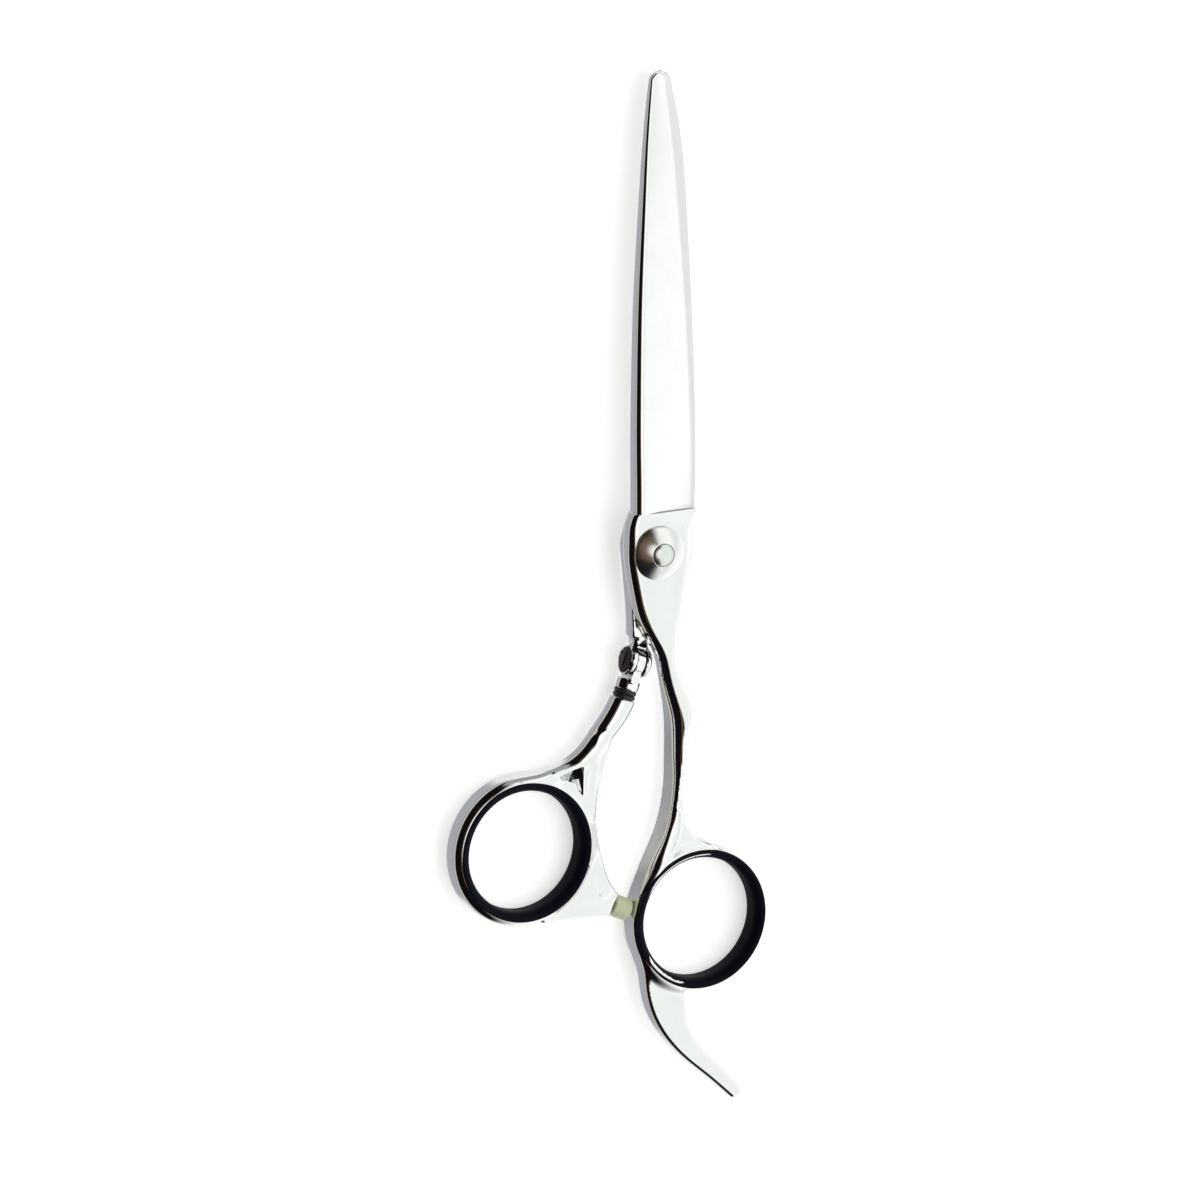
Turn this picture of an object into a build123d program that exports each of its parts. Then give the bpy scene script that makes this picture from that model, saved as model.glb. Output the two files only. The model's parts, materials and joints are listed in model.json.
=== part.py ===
from build123d import *
import math
import os

# Hair cutting shears with an offset handle, a tension dial and a double-swivel thumb ring.
# Frame: +Y along the blades to the tips, +X towards the finger blade's cutting edge, +Z up
# through the tension dial. The shears lie closed and flat on Z = 0. The origin is the point
# where the pivot axis meets that plane. All sizes are in millimetres.

# ------------------------------------------------------------------ driving dimensions
# Levels of the two halves
RIDE_Z = 3.30              # the plane in which the two blades slide past each other
RIDE_GAP = 0.12            # running gap between the two inner faces
TOP_Z = 6.30               # top of the finger half at the pivot
TIP_Y = 78.2               # blunt tips of both blades
HEEL_Y = 6.6               # plunge line, where the ground blade ends and the hub begins
HOLLOW_DEPTH = 0.22        # depth of the hollow grind on the inner faces
STEM_LOW_Z = 0.40          # levels of the thumb ring's bent stem
STEM_HIGH_Z = 4.60
WEB_LOW_Z = 0.95           # levels of the webs and the arm beside the stem
WEB_HIGH_Z = 4.05
FINGER_WEB_LOW_Z = 0.80
FINGER_WEB_HIGH_Z = 4.20

# Finger rings and their soft inserts
RING_LOW_Z = 0.30
RING_HIGH_Z = 4.70
RING_MID_Z = (RING_LOW_Z + RING_HIGH_Z) / 2
RING_BORE_R = 10.55
RING_EDGE_R = 1.10         # rounding of the ring band's outer edges
FINGER_RING_CENTRE = (9.7, -61.7)
FINGER_RING_R = 11.9
THUMB_RING_CENTRE = (-21.7, -47.6)
THUMB_RING_R = 12.4
INSERT_HOLE_R = 9.90
INSERT_ROUNDING = 1.05     # rounding of the insert's inner edges
LIP_R = 11.45
LIP_THICKNESS = 0.50
LIP_SEAT_DEPTH = 0.20      # how deep each lip sits in the ring's face
LIP_SEAT_R = LIP_R + 0.05

# Pivot stack, from the underside up
BOLT_HEAD_R = 3.50
BOLT_HEAD_TOP_Z = 0.90
BOLT_KEY_SIDE = 4.20       # square neck that keys the bolt into the thumb half
BOLT_KEY_TOP_Z = 2.20
BOLT_JOURNAL_R = 2.00
BOLT_JOURNAL_TOP_Z = 6.15
BOLT_THREAD_R = 1.60
BOLT_THREAD_TOP_Z = 7.50
BOLT_FLAT = 1.30           # half the distance across the two flats of the threaded end
SPANNER_HOLE_R = 0.45
SPANNER_HOLE_OFFSET = 2.20
SPANNER_HOLE_DEPTH = 0.50
BUSH_R = 2.75
BUSH_TOP_Z = 5.60
RUNNING_CLEARANCE = 0.04   # radial clearance of every running fit
GLIDE_R = 3.80
GLIDE_LOW_Z = 3.06
GLIDE_HIGH_Z = 3.48
TOP_RECESS_R = 3.45        # pocket in the finger half for the spring washer
TOP_RECESS_Z = 5.60
SPRING_R = 3.25
SPRING_THICKNESS = 0.18
CLICK_PLATE_R = 3.25
CLICK_PLATE_LOW_Z = 6.17
CLICK_PLATE_HIGH_Z = 6.42
DIAL_R = 4.40
DIAL_LOW_Z = 6.38
DIAL_RIM_Z = 6.95
DIAL_TOP_Z = 8.05
DIAL_UNDERCUT_R = 3.50
DIAL_UNDERCUT_Z = 6.62
DIAL_NOTCHES = 24
CAP_R = 1.80
CAP_TOP_Z = 8.45
CAP_SHANK_R = 0.70

# Double swivel between the thumb shank and the thumb ring
KNUCKLE = (-2.00, -18.6)   # centre of the cross screw
SWIVEL_LEAN = 19.0         # degrees that the swivel axis leans away from -Y, towards -X
KNUCKLE_R = 2.40           # rounded ends of the two fork ears
KNUCKLE_HALF_LENGTH = 1.85
TONGUE_HALF = 0.70
TONGUE_R = 2.20
KNUCKLE_WASHER = 0.15
KNUCKLE_WASHER_R = 1.70
FACE_GAP = 0.025           # side clearance at each face of the tongue and its washers
FORK_SLOT_DEPTH = 2.70     # from the cross screw to the floor of the fork's slot
CROSS_SCREW_R = 0.75
CROSS_SCREW_HEAD_R = 2.05
CROSS_SCREW_HEAD = 0.40
CROSS_BUSH_R = 1.10
LINK_SHOULDER = 2.80       # distances along the swivel axis from the cross screw
LINK_FACE = 4.60
STEM_FACE = 6.10
POST_END = 9.60
LINK_R = 2.00
POST_R = 0.95
SWIVEL_BUSH_R = 1.35
COLLAR_R = 1.85
COLLAR_THICKNESS = 0.68
RETAINER_AT = 8.70         # the groove for the retaining screw
RETAINER_GROOVE_R = 0.62
RETAINER_GROOVE_WIDTH = 0.90
RETAINER_R = 0.32

# Bumper on the thumb ring's arm
BUMPER_SEAT = (-5.60, -58.13)
BUMPER_TURN = -24.0        # degrees from +X to the bumper's axis
BUMPER_R = 1.90
BUMPER_LENGTH = 3.75
BUMPER_DOME = 0.80
STUD_R = 0.70
STUD_DEPTH = 2.20
STUD_IN_BUMPER = 1.50

os.makedirs("parts", exist_ok=True)


# ------------------------------------------------------------------ helpers
def save(solid, node):
    """Write one piece to its own STEP file."""
    export_step(solid, f"parts/{node}.step")


def disc(radius, low, high, centre=(0, 0)):
    """Upright cylinder between two levels."""
    return Pos(centre[0], centre[1], (low + high) / 2) * Cylinder(radius, high - low)


def ring(outer, inner, low, high, centre=(0, 0)):
    """Upright flat ring between two levels."""
    return disc(outer, low, high, centre) - disc(inner, low - 1, high + 1, centre)


def across(y, outline):
    """Face in the plane Y = y from (x, z) points."""
    return make_face(Polyline(*[(x, y, z) for x, z in outline], close=True))


def bar(stations):
    """Loft an eight-sided bar along a bent centreline.

    Each station is (x, y, width, low, high, chamfer). Its section stands square to the line
    between its neighbours.
    """
    sections = []
    last = len(stations) - 1
    for index, (x, y, width, low, high, chamfer) in enumerate(stations):
        before = stations[max(index - 1, 0)]
        after = stations[min(index + 1, last)]
        run = Vector(after[0] - before[0], after[1] - before[1], 0).normalized()
        side = Vector(-run.Y, run.X, 0)
        half = width / 2
        profile = [
            (-half, low + chamfer), (-half + chamfer, low),
            (half - chamfer, low), (half, low + chamfer),
            (half, high - chamfer), (half - chamfer, high),
            (-half + chamfer, high), (-half, high - chamfer),
        ]
        points = [(x + side.X * s, y + side.Y * s, z) for s, z in profile]
        sections.append(make_face(Polyline(*points, close=True)))
    return loft(sections)


def plate(outline, low, high):
    """Extrude a closed plan outline between two levels."""
    face = Pos(0, 0, low) * make_face(outline)
    return extrude(face, high - low, dir=(0, 0, 1))


def along_swivel(solid, distance):
    """Place a solid made on +Z so that +Z runs down the swivel axis from the given distance."""
    lean = math.radians(SWIVEL_LEAN)
    run = Vector(-math.sin(lean), -math.cos(lean), 0)
    start = Vector(KNUCKLE[0], KNUCKLE[1], RING_MID_Z) + run * distance
    return Plane(origin=start, x_dir=(0, 0, 1), z_dir=run).location * solid


def along_cross(solid):
    """Place a solid made on +Z so that +Z runs along the cross screw, towards the finger half.

    Its own +Y then runs down the swivel axis.
    """
    lean = math.radians(SWIVEL_LEAN)
    run = Vector(math.cos(lean), -math.sin(lean), 0)
    origin = Vector(KNUCKLE[0], KNUCKLE[1], RING_MID_Z)
    return Plane(origin=origin, x_dir=(0, 0, 1), z_dir=run).location * solid


def dome_arc(radius, low, high):
    """Quarter of a spherical cap in the XZ plane, from its rim to its top on the Z axis."""
    height = high - low
    sphere_r = (radius**2 + height**2) / (2 * height)
    half_angle = math.asin(radius / sphere_r) / 2
    middle = (sphere_r * math.sin(half_angle), 0, high - sphere_r + sphere_r * math.cos(half_angle))
    return ThreePointArc((radius, 0, low), middle, (0, 0, high))


def rod(radius, low, high):
    """Cylinder on the Z axis from low to high, for the two swivel axes."""
    return Pos(0, 0, (low + high) / 2) * Cylinder(radius, high - low)


# ------------------------------------------------------------------ blades
# One station per row: y, spine x, edge x, spine height, width of the facet behind the edge
FINGER_BLADE_STATIONS = [
    (HEEL_Y - 0.6, -3.80, 7.60, 2.90, 0.9),
    (11.0, -3.85, 7.65, 2.86, 0.9),
    (17.0, -4.00, 7.55, 2.78, 1.0),
    (26.0, -4.10, 7.20, 2.66, 1.2),
    (41.0, -4.00, 6.30, 2.35, 1.6),
    (57.0, -3.40, 5.05, 1.90, 2.1),
    (68.0, -2.80, 3.75, 1.45, 2.2),
    (74.5, -2.25, 2.40, 1.15, 1.7),
    (77.2, -1.80, 1.55, 0.95, 1.2),
    (TIP_Y, -0.50, 1.00, 0.85, 0.5),
]
EDGE_HEIGHT = 0.12         # the land left at the cutting edge
FACET_SLOPE = 0.36         # rise of the facet for each millimetre of its width
SPINE_BEVEL = 0.55
THUMB_EDGE_INSET = 0.50    # the thumb blade's edge stops short of the finger blade's spine
THUMB_SPINE_PROUD = 0.10   # and its spine just covers the finger blade's edge


def blade(stations, inner_z, up):
    """Loft a hollow-ground blade from its spine to its edge.

    up is +1 for a blade above its inner face and -1 for one below it.
    """
    sections = []
    for y, spine, edge, height, facet in stations:
        toward = 1 if edge > spine else -1
        width = abs(edge - spine)
        bevel = min(SPINE_BEVEL, height / 2)
        profile = [
            (0, 0), (0, height - bevel), (bevel, height),
            (width - facet, EDGE_HEIGHT + FACET_SLOPE * facet), (width, EDGE_HEIGHT), (width, 0),
            (0.80 * width, 0.6 * HOLLOW_DEPTH), (0.50 * width, HOLLOW_DEPTH),
            (0.20 * width, 0.6 * HOLLOW_DEPTH),
        ]
        outline = [(spine + toward * s, inner_z + up * h) for s, h in profile]
        sections.append(across(y, outline))
    return loft(sections)


# ------------------------------------------------------------------ finger half
# One station per row: y, left x, right x, low z, high z, width and drop of the right bevel
FINGER_SHANK_STATIONS = [
    (HEEL_Y, -4.20, 7.45, 3.36, 6.28, 2.6, 1.5),
    (4.4, -4.90, 7.20, 3.36, 6.30, 2.4, 1.5),
    (2.0, -5.02, 7.00, 3.36, 6.30, 2.1, 1.4),
    (-1.0, -4.95, 6.85, 3.36, 6.30, 1.9, 1.4),
    (-4.0, -4.45, 6.60, 3.36, 6.30, 2.0, 1.4),
    (-7.0, -3.80, 6.35, 3.36, 6.30, 2.2, 1.4),
    (-10.5, -2.85, 5.85, 3.36, 6.28, 2.3, 1.4),
    (-13.0, -1.70, 5.55, 3.36, 6.25, 2.4, 1.4),
    (-17.0, 0.50, 5.40, 3.36, 6.05, 2.4, 1.5),
    (-21.0, 1.70, 5.75, 3.10, 5.60, 1.8, 1.3),
    (-25.0, 3.00, 8.10, 1.90, 5.10, 1.8, 1.4),
    (-28.3, 4.00, 9.85, 0.80, 4.85, 3.0, 1.6),
    (-31.5, 4.35, 8.15, 0.40, 4.70, 2.2, 1.4),
    (-35.0, 4.40, 7.25, 0.35, 4.62, 1.4, 1.2),
    (-38.0, 4.45, 6.75, 0.35, 4.60, 1.2, 1.2),
    (-42.5, 4.05, 6.35, 0.35, 4.60, 1.2, 1.2),
    (-47.0, 2.95, 6.20, 0.35, 4.60, 1.2, 1.2),
    (-52.0, 0.75, 4.20, 0.35, 4.60, 1.2, 1.2),
    (-57.0, -1.10, 1.40, 0.35, 4.60, 0.9, 1.0),
    (-61.7, -2.00, -0.90, 0.60, 4.40, 0.4, 0.6),
]
SHANK_CHAMFER = 0.30


def finger_shank():
    """The hub round the pivot and the S-shaped shank down to the finger ring."""
    sections = []
    for y, left, right, low, high, bevel, drop in FINGER_SHANK_STATIONS:
        c = SHANK_CHAMFER
        outline = [
            (left, low + c), (left + c, low), (right - c, low), (right, low + c),
            (right, high - drop), (right - bevel, high), (left + c, high), (left, high - c),
        ]
        sections.append(across(y, outline))
    return loft(sections)


TANG_STATIONS = [
    (1.6, -68.5, 3.0, 0.70, 4.30, 0.9),
    (4.2, -74.8, 6.6, 0.80, 4.20, 0.9),
    (5.8, -79.4, 4.6, 0.90, 4.10, 0.9),
    (8.8, -83.6, 3.3, 1.00, 4.00, 0.8),
    (12.9, -87.4, 2.7, 1.10, 3.90, 0.7),
    (16.6, -90.8, 2.5, 1.20, 3.80, 0.6),
    (17.7, -91.9, 2.0, 1.45, 3.55, 0.5),
]


def ring_band(centre, outer):
    """The rounded metal band of a finger ring, with seats for the insert's two lips."""
    thickness = outer - RING_BORE_R
    profile = Pos((outer + RING_BORE_R) / 2, 0) * Rectangle(thickness, RING_HIGH_Z - RING_LOW_Z)
    outer_corners = profile.vertices().sort_by(Axis.X)[-2:]
    profile = fillet(outer_corners, RING_EDGE_R)
    band = revolve(Plane.XZ * profile, Axis.Z)
    return Pos(centre[0], centre[1], RING_MID_Z) * band


def ring_bore(centre):
    """Everything that is cut away for the insert."""
    x, y = centre
    seat = LIP_SEAT_DEPTH
    bore = disc(RING_BORE_R, RING_LOW_Z - 1, RING_HIGH_Z + 1, centre)
    top_seat = disc(LIP_SEAT_R, RING_HIGH_Z - seat, RING_HIGH_Z + 1, centre)
    low_seat = disc(LIP_SEAT_R, RING_LOW_Z - 1, RING_LOW_Z + seat, centre)
    return bore + top_seat + low_seat


def finger_web():
    """Fills the corner between the shank's right side and the top of the finger ring."""
    edge = Spline((6.2, -42.0), (6.9, -45.8), (8.4, -48.2), (11.4, -49.7), tangents=[(0, -1), (1, -0.2)])
    rest = Polyline((11.4, -49.7), (9.7, -55.0), (1.0, -56.0), (3.6, -46.0), (6.2, -42.0))
    return plate(edge + rest, FINGER_WEB_LOW_Z, FINGER_WEB_HIGH_Z)


def make_finger_blade():
    """The finger half: blade, hub, shank, ring and tang forged in one piece."""
    inner = RIDE_Z + RIDE_GAP / 2
    half = blade(FINGER_BLADE_STATIONS, inner, up=1)
    half += finger_shank()
    half += bar(TANG_STATIONS)
    half += finger_web()
    half += ring_band(FINGER_RING_CENTRE, FINGER_RING_R)
    half -= ring_bore(FINGER_RING_CENTRE)
    half -= disc(BUSH_R, 0, TOP_Z + 1)
    half -= disc(GLIDE_R + 0.05, 0, GLIDE_HIGH_Z + 0.05)
    half -= disc(TOP_RECESS_R, TOP_RECESS_Z, TOP_Z + 1)
    return half


# ------------------------------------------------------------------ thumb half
# One station per row: distance up the shank from the cross screw, width, low z, high z, chamfer
FORK_STATIONS = [
    (0.0, 2 * KNUCKLE_HALF_LENGTH, 0.15, 4.85, 0.5),
    (1.2, 3.2, 0.15, 4.50, 0.5),
    (2.3, 2.8, 0.20, 3.55, 0.4),
    (3.4, 2.8, 0.25, 3.14, 0.4),
    (4.3, 2.9, 0.27, 3.10, 0.4),
    (5.2, 3.0, 0.28, 3.14, 0.4),
]
THUMB_SHANK_STATIONS = [
    (HEEL_Y, -3.30, 7.50, 0.32, 3.24, 1.6, 1.2),
    (4.4, -4.15, 7.20, 0.30, 3.24, 1.6, 1.2),
    (2.5, -4.35, 7.00, 0.30, 3.24, 1.6, 1.2),
    (-1.0, -4.05, 6.80, 0.30, 3.24, 1.6, 1.2),
    (-6.0, -3.45, 5.40, 0.30, 3.24, 1.4, 1.1),
    (-10.5, -2.95, 2.40, 0.30, 3.24, 1.0, 0.9),
    (-14.5, -2.75, 0.10, 0.28, 3.24, 0.6, 0.6),
]


def thumb_shank():
    """The hub under the finger half and the short shank that ends in the fork."""
    sections = []
    for y, left, right, low, high, bevel, drop in THUMB_SHANK_STATIONS:
        c = SHANK_CHAMFER
        outline = [
            (left, low + c), (left + c, low), (right - bevel, low), (right, low + drop),
            (right, high - c), (right - c, high), (left + c, high), (left, high - c),
        ]
        sections.append(across(y, outline))
    return loft(sections)


def fork():
    """The neck and two rounded ears that hold the cross screw."""
    lean = math.radians(SWIVEL_LEAN)
    stations = []
    for distance, width, low, high, chamfer in FORK_STATIONS:
        x = KNUCKLE[0] + math.sin(lean) * distance
        y = KNUCKLE[1] + math.cos(lean) * distance
        stations.append((x, y, width, low, high, chamfer))
    barrel = along_cross(rod(KNUCKLE_R, -KNUCKLE_HALF_LENGTH, KNUCKLE_HALF_LENGTH))
    return bar(stations) + barrel


def fork_cuts():
    """The slot for the tongue, the screw's hole and the seat of its head."""
    slot_half = TONGUE_HALF + KNUCKLE_WASHER + 2 * FACE_GAP
    slot_length = FORK_SLOT_DEPTH + 4
    slot_box = Pos(0, slot_length / 2 - FORK_SLOT_DEPTH, 0) * Box(8, slot_length, 2 * slot_half)
    slot = along_cross(slot_box)
    hole = along_cross(rod(CROSS_SCREW_R, -4, KNUCKLE_HALF_LENGTH - 0.3))
    head_low = -KNUCKLE_HALF_LENGTH - 1
    seat = along_cross(rod(CROSS_SCREW_HEAD_R, head_low, -KNUCKLE_HALF_LENGTH + CROSS_SCREW_HEAD - 0.15))
    return slot + hole + seat


def make_thumb_blade():
    """The thumb half: blade, hub and short shank with its fork, in one piece."""
    inner = RIDE_Z - RIDE_GAP / 2
    stations = [
        (y, edge + THUMB_SPINE_PROUD, spine + THUMB_EDGE_INSET, height, facet)
        for y, spine, edge, height, facet in FINGER_BLADE_STATIONS
    ]
    half = blade(stations, inner, up=-1)
    half += thumb_shank()
    half += fork()
    half -= fork_cuts()
    half -= disc(BOLT_JOURNAL_R, 0, RIDE_Z + 1)
    half -= disc(BOLT_HEAD_R, 0, BOLT_HEAD_TOP_Z)
    half -= Pos(0, 0, BOLT_KEY_TOP_Z / 2) * Box(BOLT_KEY_SIDE, BOLT_KEY_SIDE, BOLT_KEY_TOP_Z)
    half -= disc(GLIDE_R, GLIDE_LOW_Z, RIDE_Z + 1)
    return half


# ------------------------------------------------------------------ pivot stack
def make_pivot_bolt():
    """Flat-headed bolt from below: keyed neck, journal and a threaded end with two flats."""
    bolt = disc(BOLT_HEAD_R, 0, BOLT_HEAD_TOP_Z)
    neck_height = BOLT_KEY_TOP_Z - BOLT_HEAD_TOP_Z
    neck_mid = (BOLT_KEY_TOP_Z + BOLT_HEAD_TOP_Z) / 2
    bolt += Pos(0, 0, neck_mid) * Box(BOLT_KEY_SIDE, BOLT_KEY_SIDE, neck_height)
    bolt += disc(BOLT_JOURNAL_R, BOLT_HEAD_TOP_Z, BOLT_JOURNAL_TOP_Z)
    bolt += threaded_end(BOLT_THREAD_R, BOLT_FLAT, BOLT_JOURNAL_TOP_Z, BOLT_THREAD_TOP_Z)
    bolt -= disc(CAP_SHANK_R, BOLT_JOURNAL_TOP_Z, BOLT_THREAD_TOP_Z + 1)
    for sign in (-1, 1):
        bolt -= disc(SPANNER_HOLE_R, -1, SPANNER_HOLE_DEPTH, (sign * SPANNER_HOLE_OFFSET, 0))
    return bolt


def threaded_end(radius, flat, low, high):
    """Round bar with two flats."""
    between_flats = Pos(0, 0, (low + high) / 2) * Box(2 * flat, 4 * radius, high - low)
    return disc(radius, low, high) & between_flats


def make_glide_washer():
    """Thin bearing washer between the two hubs."""
    return ring(GLIDE_R - 0.02, BOLT_JOURNAL_R, GLIDE_LOW_Z, GLIDE_HIGH_Z)


def make_pivot_bush():
    """Bearing sleeve pressed into the finger half."""
    low = GLIDE_HIGH_Z + 0.05
    return ring(BUSH_R, BOLT_JOURNAL_R + RUNNING_CLEARANCE, low, BUSH_TOP_Z)


def make_spring_washer():
    """Conical spring washer that loads the pivot."""
    inner = BOLT_JOURNAL_R + 2 * RUNNING_CLEARANCE
    rise = CLICK_PLATE_LOW_Z - TOP_RECESS_Z - SPRING_THICKNESS - 0.03
    profile = Polyline(
        (inner, 0, TOP_RECESS_Z + rise), (SPRING_R, 0, TOP_RECESS_Z),
        (SPRING_R, 0, TOP_RECESS_Z + SPRING_THICKNESS),
        (inner, 0, TOP_RECESS_Z + rise + SPRING_THICKNESS), close=True,
    )
    return revolve(make_face(profile), Axis.Z)


def make_click_plate():
    """Ratchet plate keyed on the bolt's flats, with two pips for the dial's notches."""
    pip_r = 0.35
    pip_at = 2.6
    pip_height = 0.14
    fit = 0.02
    low, high = CLICK_PLATE_LOW_Z - 1, CLICK_PLATE_HIGH_Z + 1
    hole = threaded_end(BOLT_THREAD_R + fit, BOLT_FLAT + fit, low, high)
    click = disc(CLICK_PLATE_R, CLICK_PLATE_LOW_Z, CLICK_PLATE_HIGH_Z) - hole
    for sign in (-1, 1):
        click += disc(pip_r, CLICK_PLATE_LOW_Z, CLICK_PLATE_HIGH_Z + pip_height, (0, sign * pip_at))
    return click


def make_tension_dial():
    """Low domed thumb nut with a ring of shallow notches on its underside."""
    cap_seat_r = CAP_R + 0.08
    cap_seat_z = BOLT_THREAD_TOP_Z - 0.05
    bore = BOLT_THREAD_R + RUNNING_CLEARANCE
    edge = 0.15
    outline = Polyline(
        (cap_seat_r, 0, DIAL_TOP_Z), (cap_seat_r, 0, cap_seat_z), (bore, 0, cap_seat_z),
        (bore, 0, DIAL_UNDERCUT_Z), (DIAL_UNDERCUT_R, 0, DIAL_UNDERCUT_Z), (DIAL_UNDERCUT_R, 0, DIAL_LOW_Z),
        (DIAL_R - edge, 0, DIAL_LOW_Z), (DIAL_R, 0, DIAL_LOW_Z + edge), (DIAL_R, 0, DIAL_RIM_Z),
    )
    dome_mid_r = 0.55 * DIAL_R + 0.45 * cap_seat_r
    dome_mid_z = DIAL_RIM_Z + 0.72 * (DIAL_TOP_Z - DIAL_RIM_Z)
    dome = ThreePointArc((DIAL_R, 0, DIAL_RIM_Z), (dome_mid_r, 0, dome_mid_z), (cap_seat_r, 0, DIAL_TOP_Z))
    dial = revolve(make_face(outline + dome), Axis.Z)
    notch_depth = 0.15
    notch = Pos(2.6, 0, DIAL_UNDERCUT_Z + notch_depth / 2) * Box(1.0, 0.3, notch_depth)
    for index in range(DIAL_NOTCHES):
        dial -= Rot(0, 0, index * 360 / DIAL_NOTCHES) * notch
    return dial


def make_dial_cap_screw():
    """Domed centre screw that keeps the dial on the bolt."""
    head_edge_z = BOLT_THREAD_TOP_Z + 0.55
    outline = Polyline(
        (0, 0, CAP_TOP_Z), (0, 0, BOLT_JOURNAL_TOP_Z + 0.1), (CAP_SHANK_R, 0, BOLT_JOURNAL_TOP_Z + 0.1),
        (CAP_SHANK_R, 0, BOLT_THREAD_TOP_Z), (CAP_R, 0, BOLT_THREAD_TOP_Z), (CAP_R, 0, head_edge_z),
    )
    return revolve(make_face(outline + dome_arc(CAP_R, head_edge_z, CAP_TOP_Z)), Axis.Z)


# ------------------------------------------------------------------ double swivel
def make_cross_screw():
    """Slotted screw through the fork, with its head in the outer ear."""
    head_low = -KNUCKLE_HALF_LENGTH - 0.15
    head_high = -KNUCKLE_HALF_LENGTH + CROSS_SCREW_HEAD - 0.15
    screw = rod(CROSS_SCREW_HEAD_R, head_low, head_high)
    screw += rod(CROSS_SCREW_R, head_high, KNUCKLE_HALF_LENGTH - 0.3)
    slot_depth = 0.25
    screw -= Pos(0, 0, head_low + slot_depth / 2) * Box(0.4, 4, slot_depth)
    return along_cross(screw)


def make_knuckle_washers():
    """The two thin washers beside the tongue."""
    washers = []
    low = TONGUE_HALF + FACE_GAP
    for sign in (-1, 1):
        middle = sign * (low + KNUCKLE_WASHER / 2)
        washer = Pos(0, 0, middle) * Cylinder(KNUCKLE_WASHER_R, KNUCKLE_WASHER)
        washer -= rod(CROSS_SCREW_R, -4, 4)
        washers.append(along_cross(washer))
    return Compound(washers)


def make_knuckle_bush():
    """Bearing sleeve in the tongue, which turns on the cross screw."""
    sleeve = rod(CROSS_BUSH_R, -TONGUE_HALF, TONGUE_HALF)
    sleeve -= rod(CROSS_SCREW_R + RUNNING_CLEARANCE, -TONGUE_HALF - 1, TONGUE_HALF + 1)
    return along_cross(sleeve)


def make_swivel_link():
    """The tongue, its round shoulder and the post that the thumb ring turns on."""
    tongue = along_cross(rod(TONGUE_R, -TONGUE_HALF, TONGUE_HALF))
    neck_length = LINK_SHOULDER + 0.4
    neck = Pos(0, neck_length / 2, 0) * Box(2 * TONGUE_R - 0.5, neck_length, 2 * TONGUE_HALF)
    link = tongue + along_cross(neck)
    link += along_swivel(chamfered_rod(LINK_R, LINK_FACE - LINK_SHOULDER, 0.35), LINK_SHOULDER)
    link += along_swivel(rod(POST_R, 0, POST_END - LINK_FACE), LINK_FACE)
    link -= along_cross(rod(CROSS_BUSH_R, -4, 4))
    groove_low = RETAINER_AT - RETAINER_GROOVE_WIDTH / 2
    groove = rod(POST_R + 0.5, 0, RETAINER_GROOVE_WIDTH) - rod(RETAINER_GROOVE_R, -1, 2)
    link -= along_swivel(groove, groove_low)
    return link


def chamfered_rod(radius, length, size):
    """Rod from 0 to length with both rims chamfered."""
    outline = Polyline(
        (0, 0, 0), (radius - size, 0, 0), (radius, 0, size), (radius, 0, length - size),
        (radius - size, 0, length), (0, 0, length), close=True,
    )
    return revolve(make_face(outline), Axis.Z)


def make_collar_washers():
    """The two dark friction washers at the collar."""
    washers = []
    pitch = (STEM_FACE - LINK_FACE) / 2
    for index in range(2):
        washer = chamfered_rod(COLLAR_R, COLLAR_THICKNESS, 0.15)
        washer -= rod(POST_R, -1, COLLAR_THICKNESS + 1)
        washers.append(along_swivel(washer, LINK_FACE + index * pitch))
    return Compound(washers)


def make_swivel_bush():
    """Bearing sleeve pressed into the stem of the thumb ring."""
    length = POST_END + 0.2 - STEM_FACE
    sleeve = rod(SWIVEL_BUSH_R, 0, length) - rod(POST_R + RUNNING_CLEARANCE, -1, length + 1)
    sleeve = along_swivel(sleeve, STEM_FACE)
    return sleeve - retainer_hole(RETAINER_R)


def retainer_hole(radius):
    """Upright hole from the groove to the top of the stem."""
    lean = math.radians(SWIVEL_LEAN)
    x = KNUCKLE[0] - math.sin(lean) * RETAINER_AT
    y = KNUCKLE[1] - math.cos(lean) * RETAINER_AT
    return disc(radius, RING_MID_Z - 3, RING_MID_Z - RETAINER_GROOVE_R - 0.08, (x, y))


def make_swivel_retaining_screw():
    """Headless screw from below, whose tip rides in the post's groove."""
    return retainer_hole(RETAINER_R) & disc(60, STEM_LOW_Z + 0.1, RING_MID_Z)


THUMB_STEM_STATIONS = [
    (-5.60, -27.10, 3.8, STEM_LOW_Z, STEM_HIGH_Z, 1.1),
    (-8.05, -30.20, 3.5, STEM_LOW_Z, STEM_HIGH_Z, 1.1),
    (-10.40, -33.30, 3.5, STEM_LOW_Z, STEM_HIGH_Z, 1.1),
    (-12.40, -36.50, 3.5, STEM_LOW_Z, STEM_HIGH_Z, 1.1),
    (-13.60, -38.90, 3.2, STEM_LOW_Z + 0.2, STEM_HIGH_Z - 0.2, 1.0),
]


def thumb_stem():
    """Bent stem from the collar to the ring."""
    lean = math.radians(SWIVEL_LEAN)
    start_x = KNUCKLE[0] - math.sin(lean) * STEM_FACE
    start_y = KNUCKLE[1] - math.cos(lean) * STEM_FACE
    before = (start_x + 0.25, start_y + 0.75, 3.9, STEM_LOW_Z, STEM_HIGH_Z, 1.2)
    first = (start_x, start_y, 3.9, STEM_LOW_Z, STEM_HIGH_Z, 1.2)
    return bar([before, first] + THUMB_STEM_STATIONS)


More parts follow.
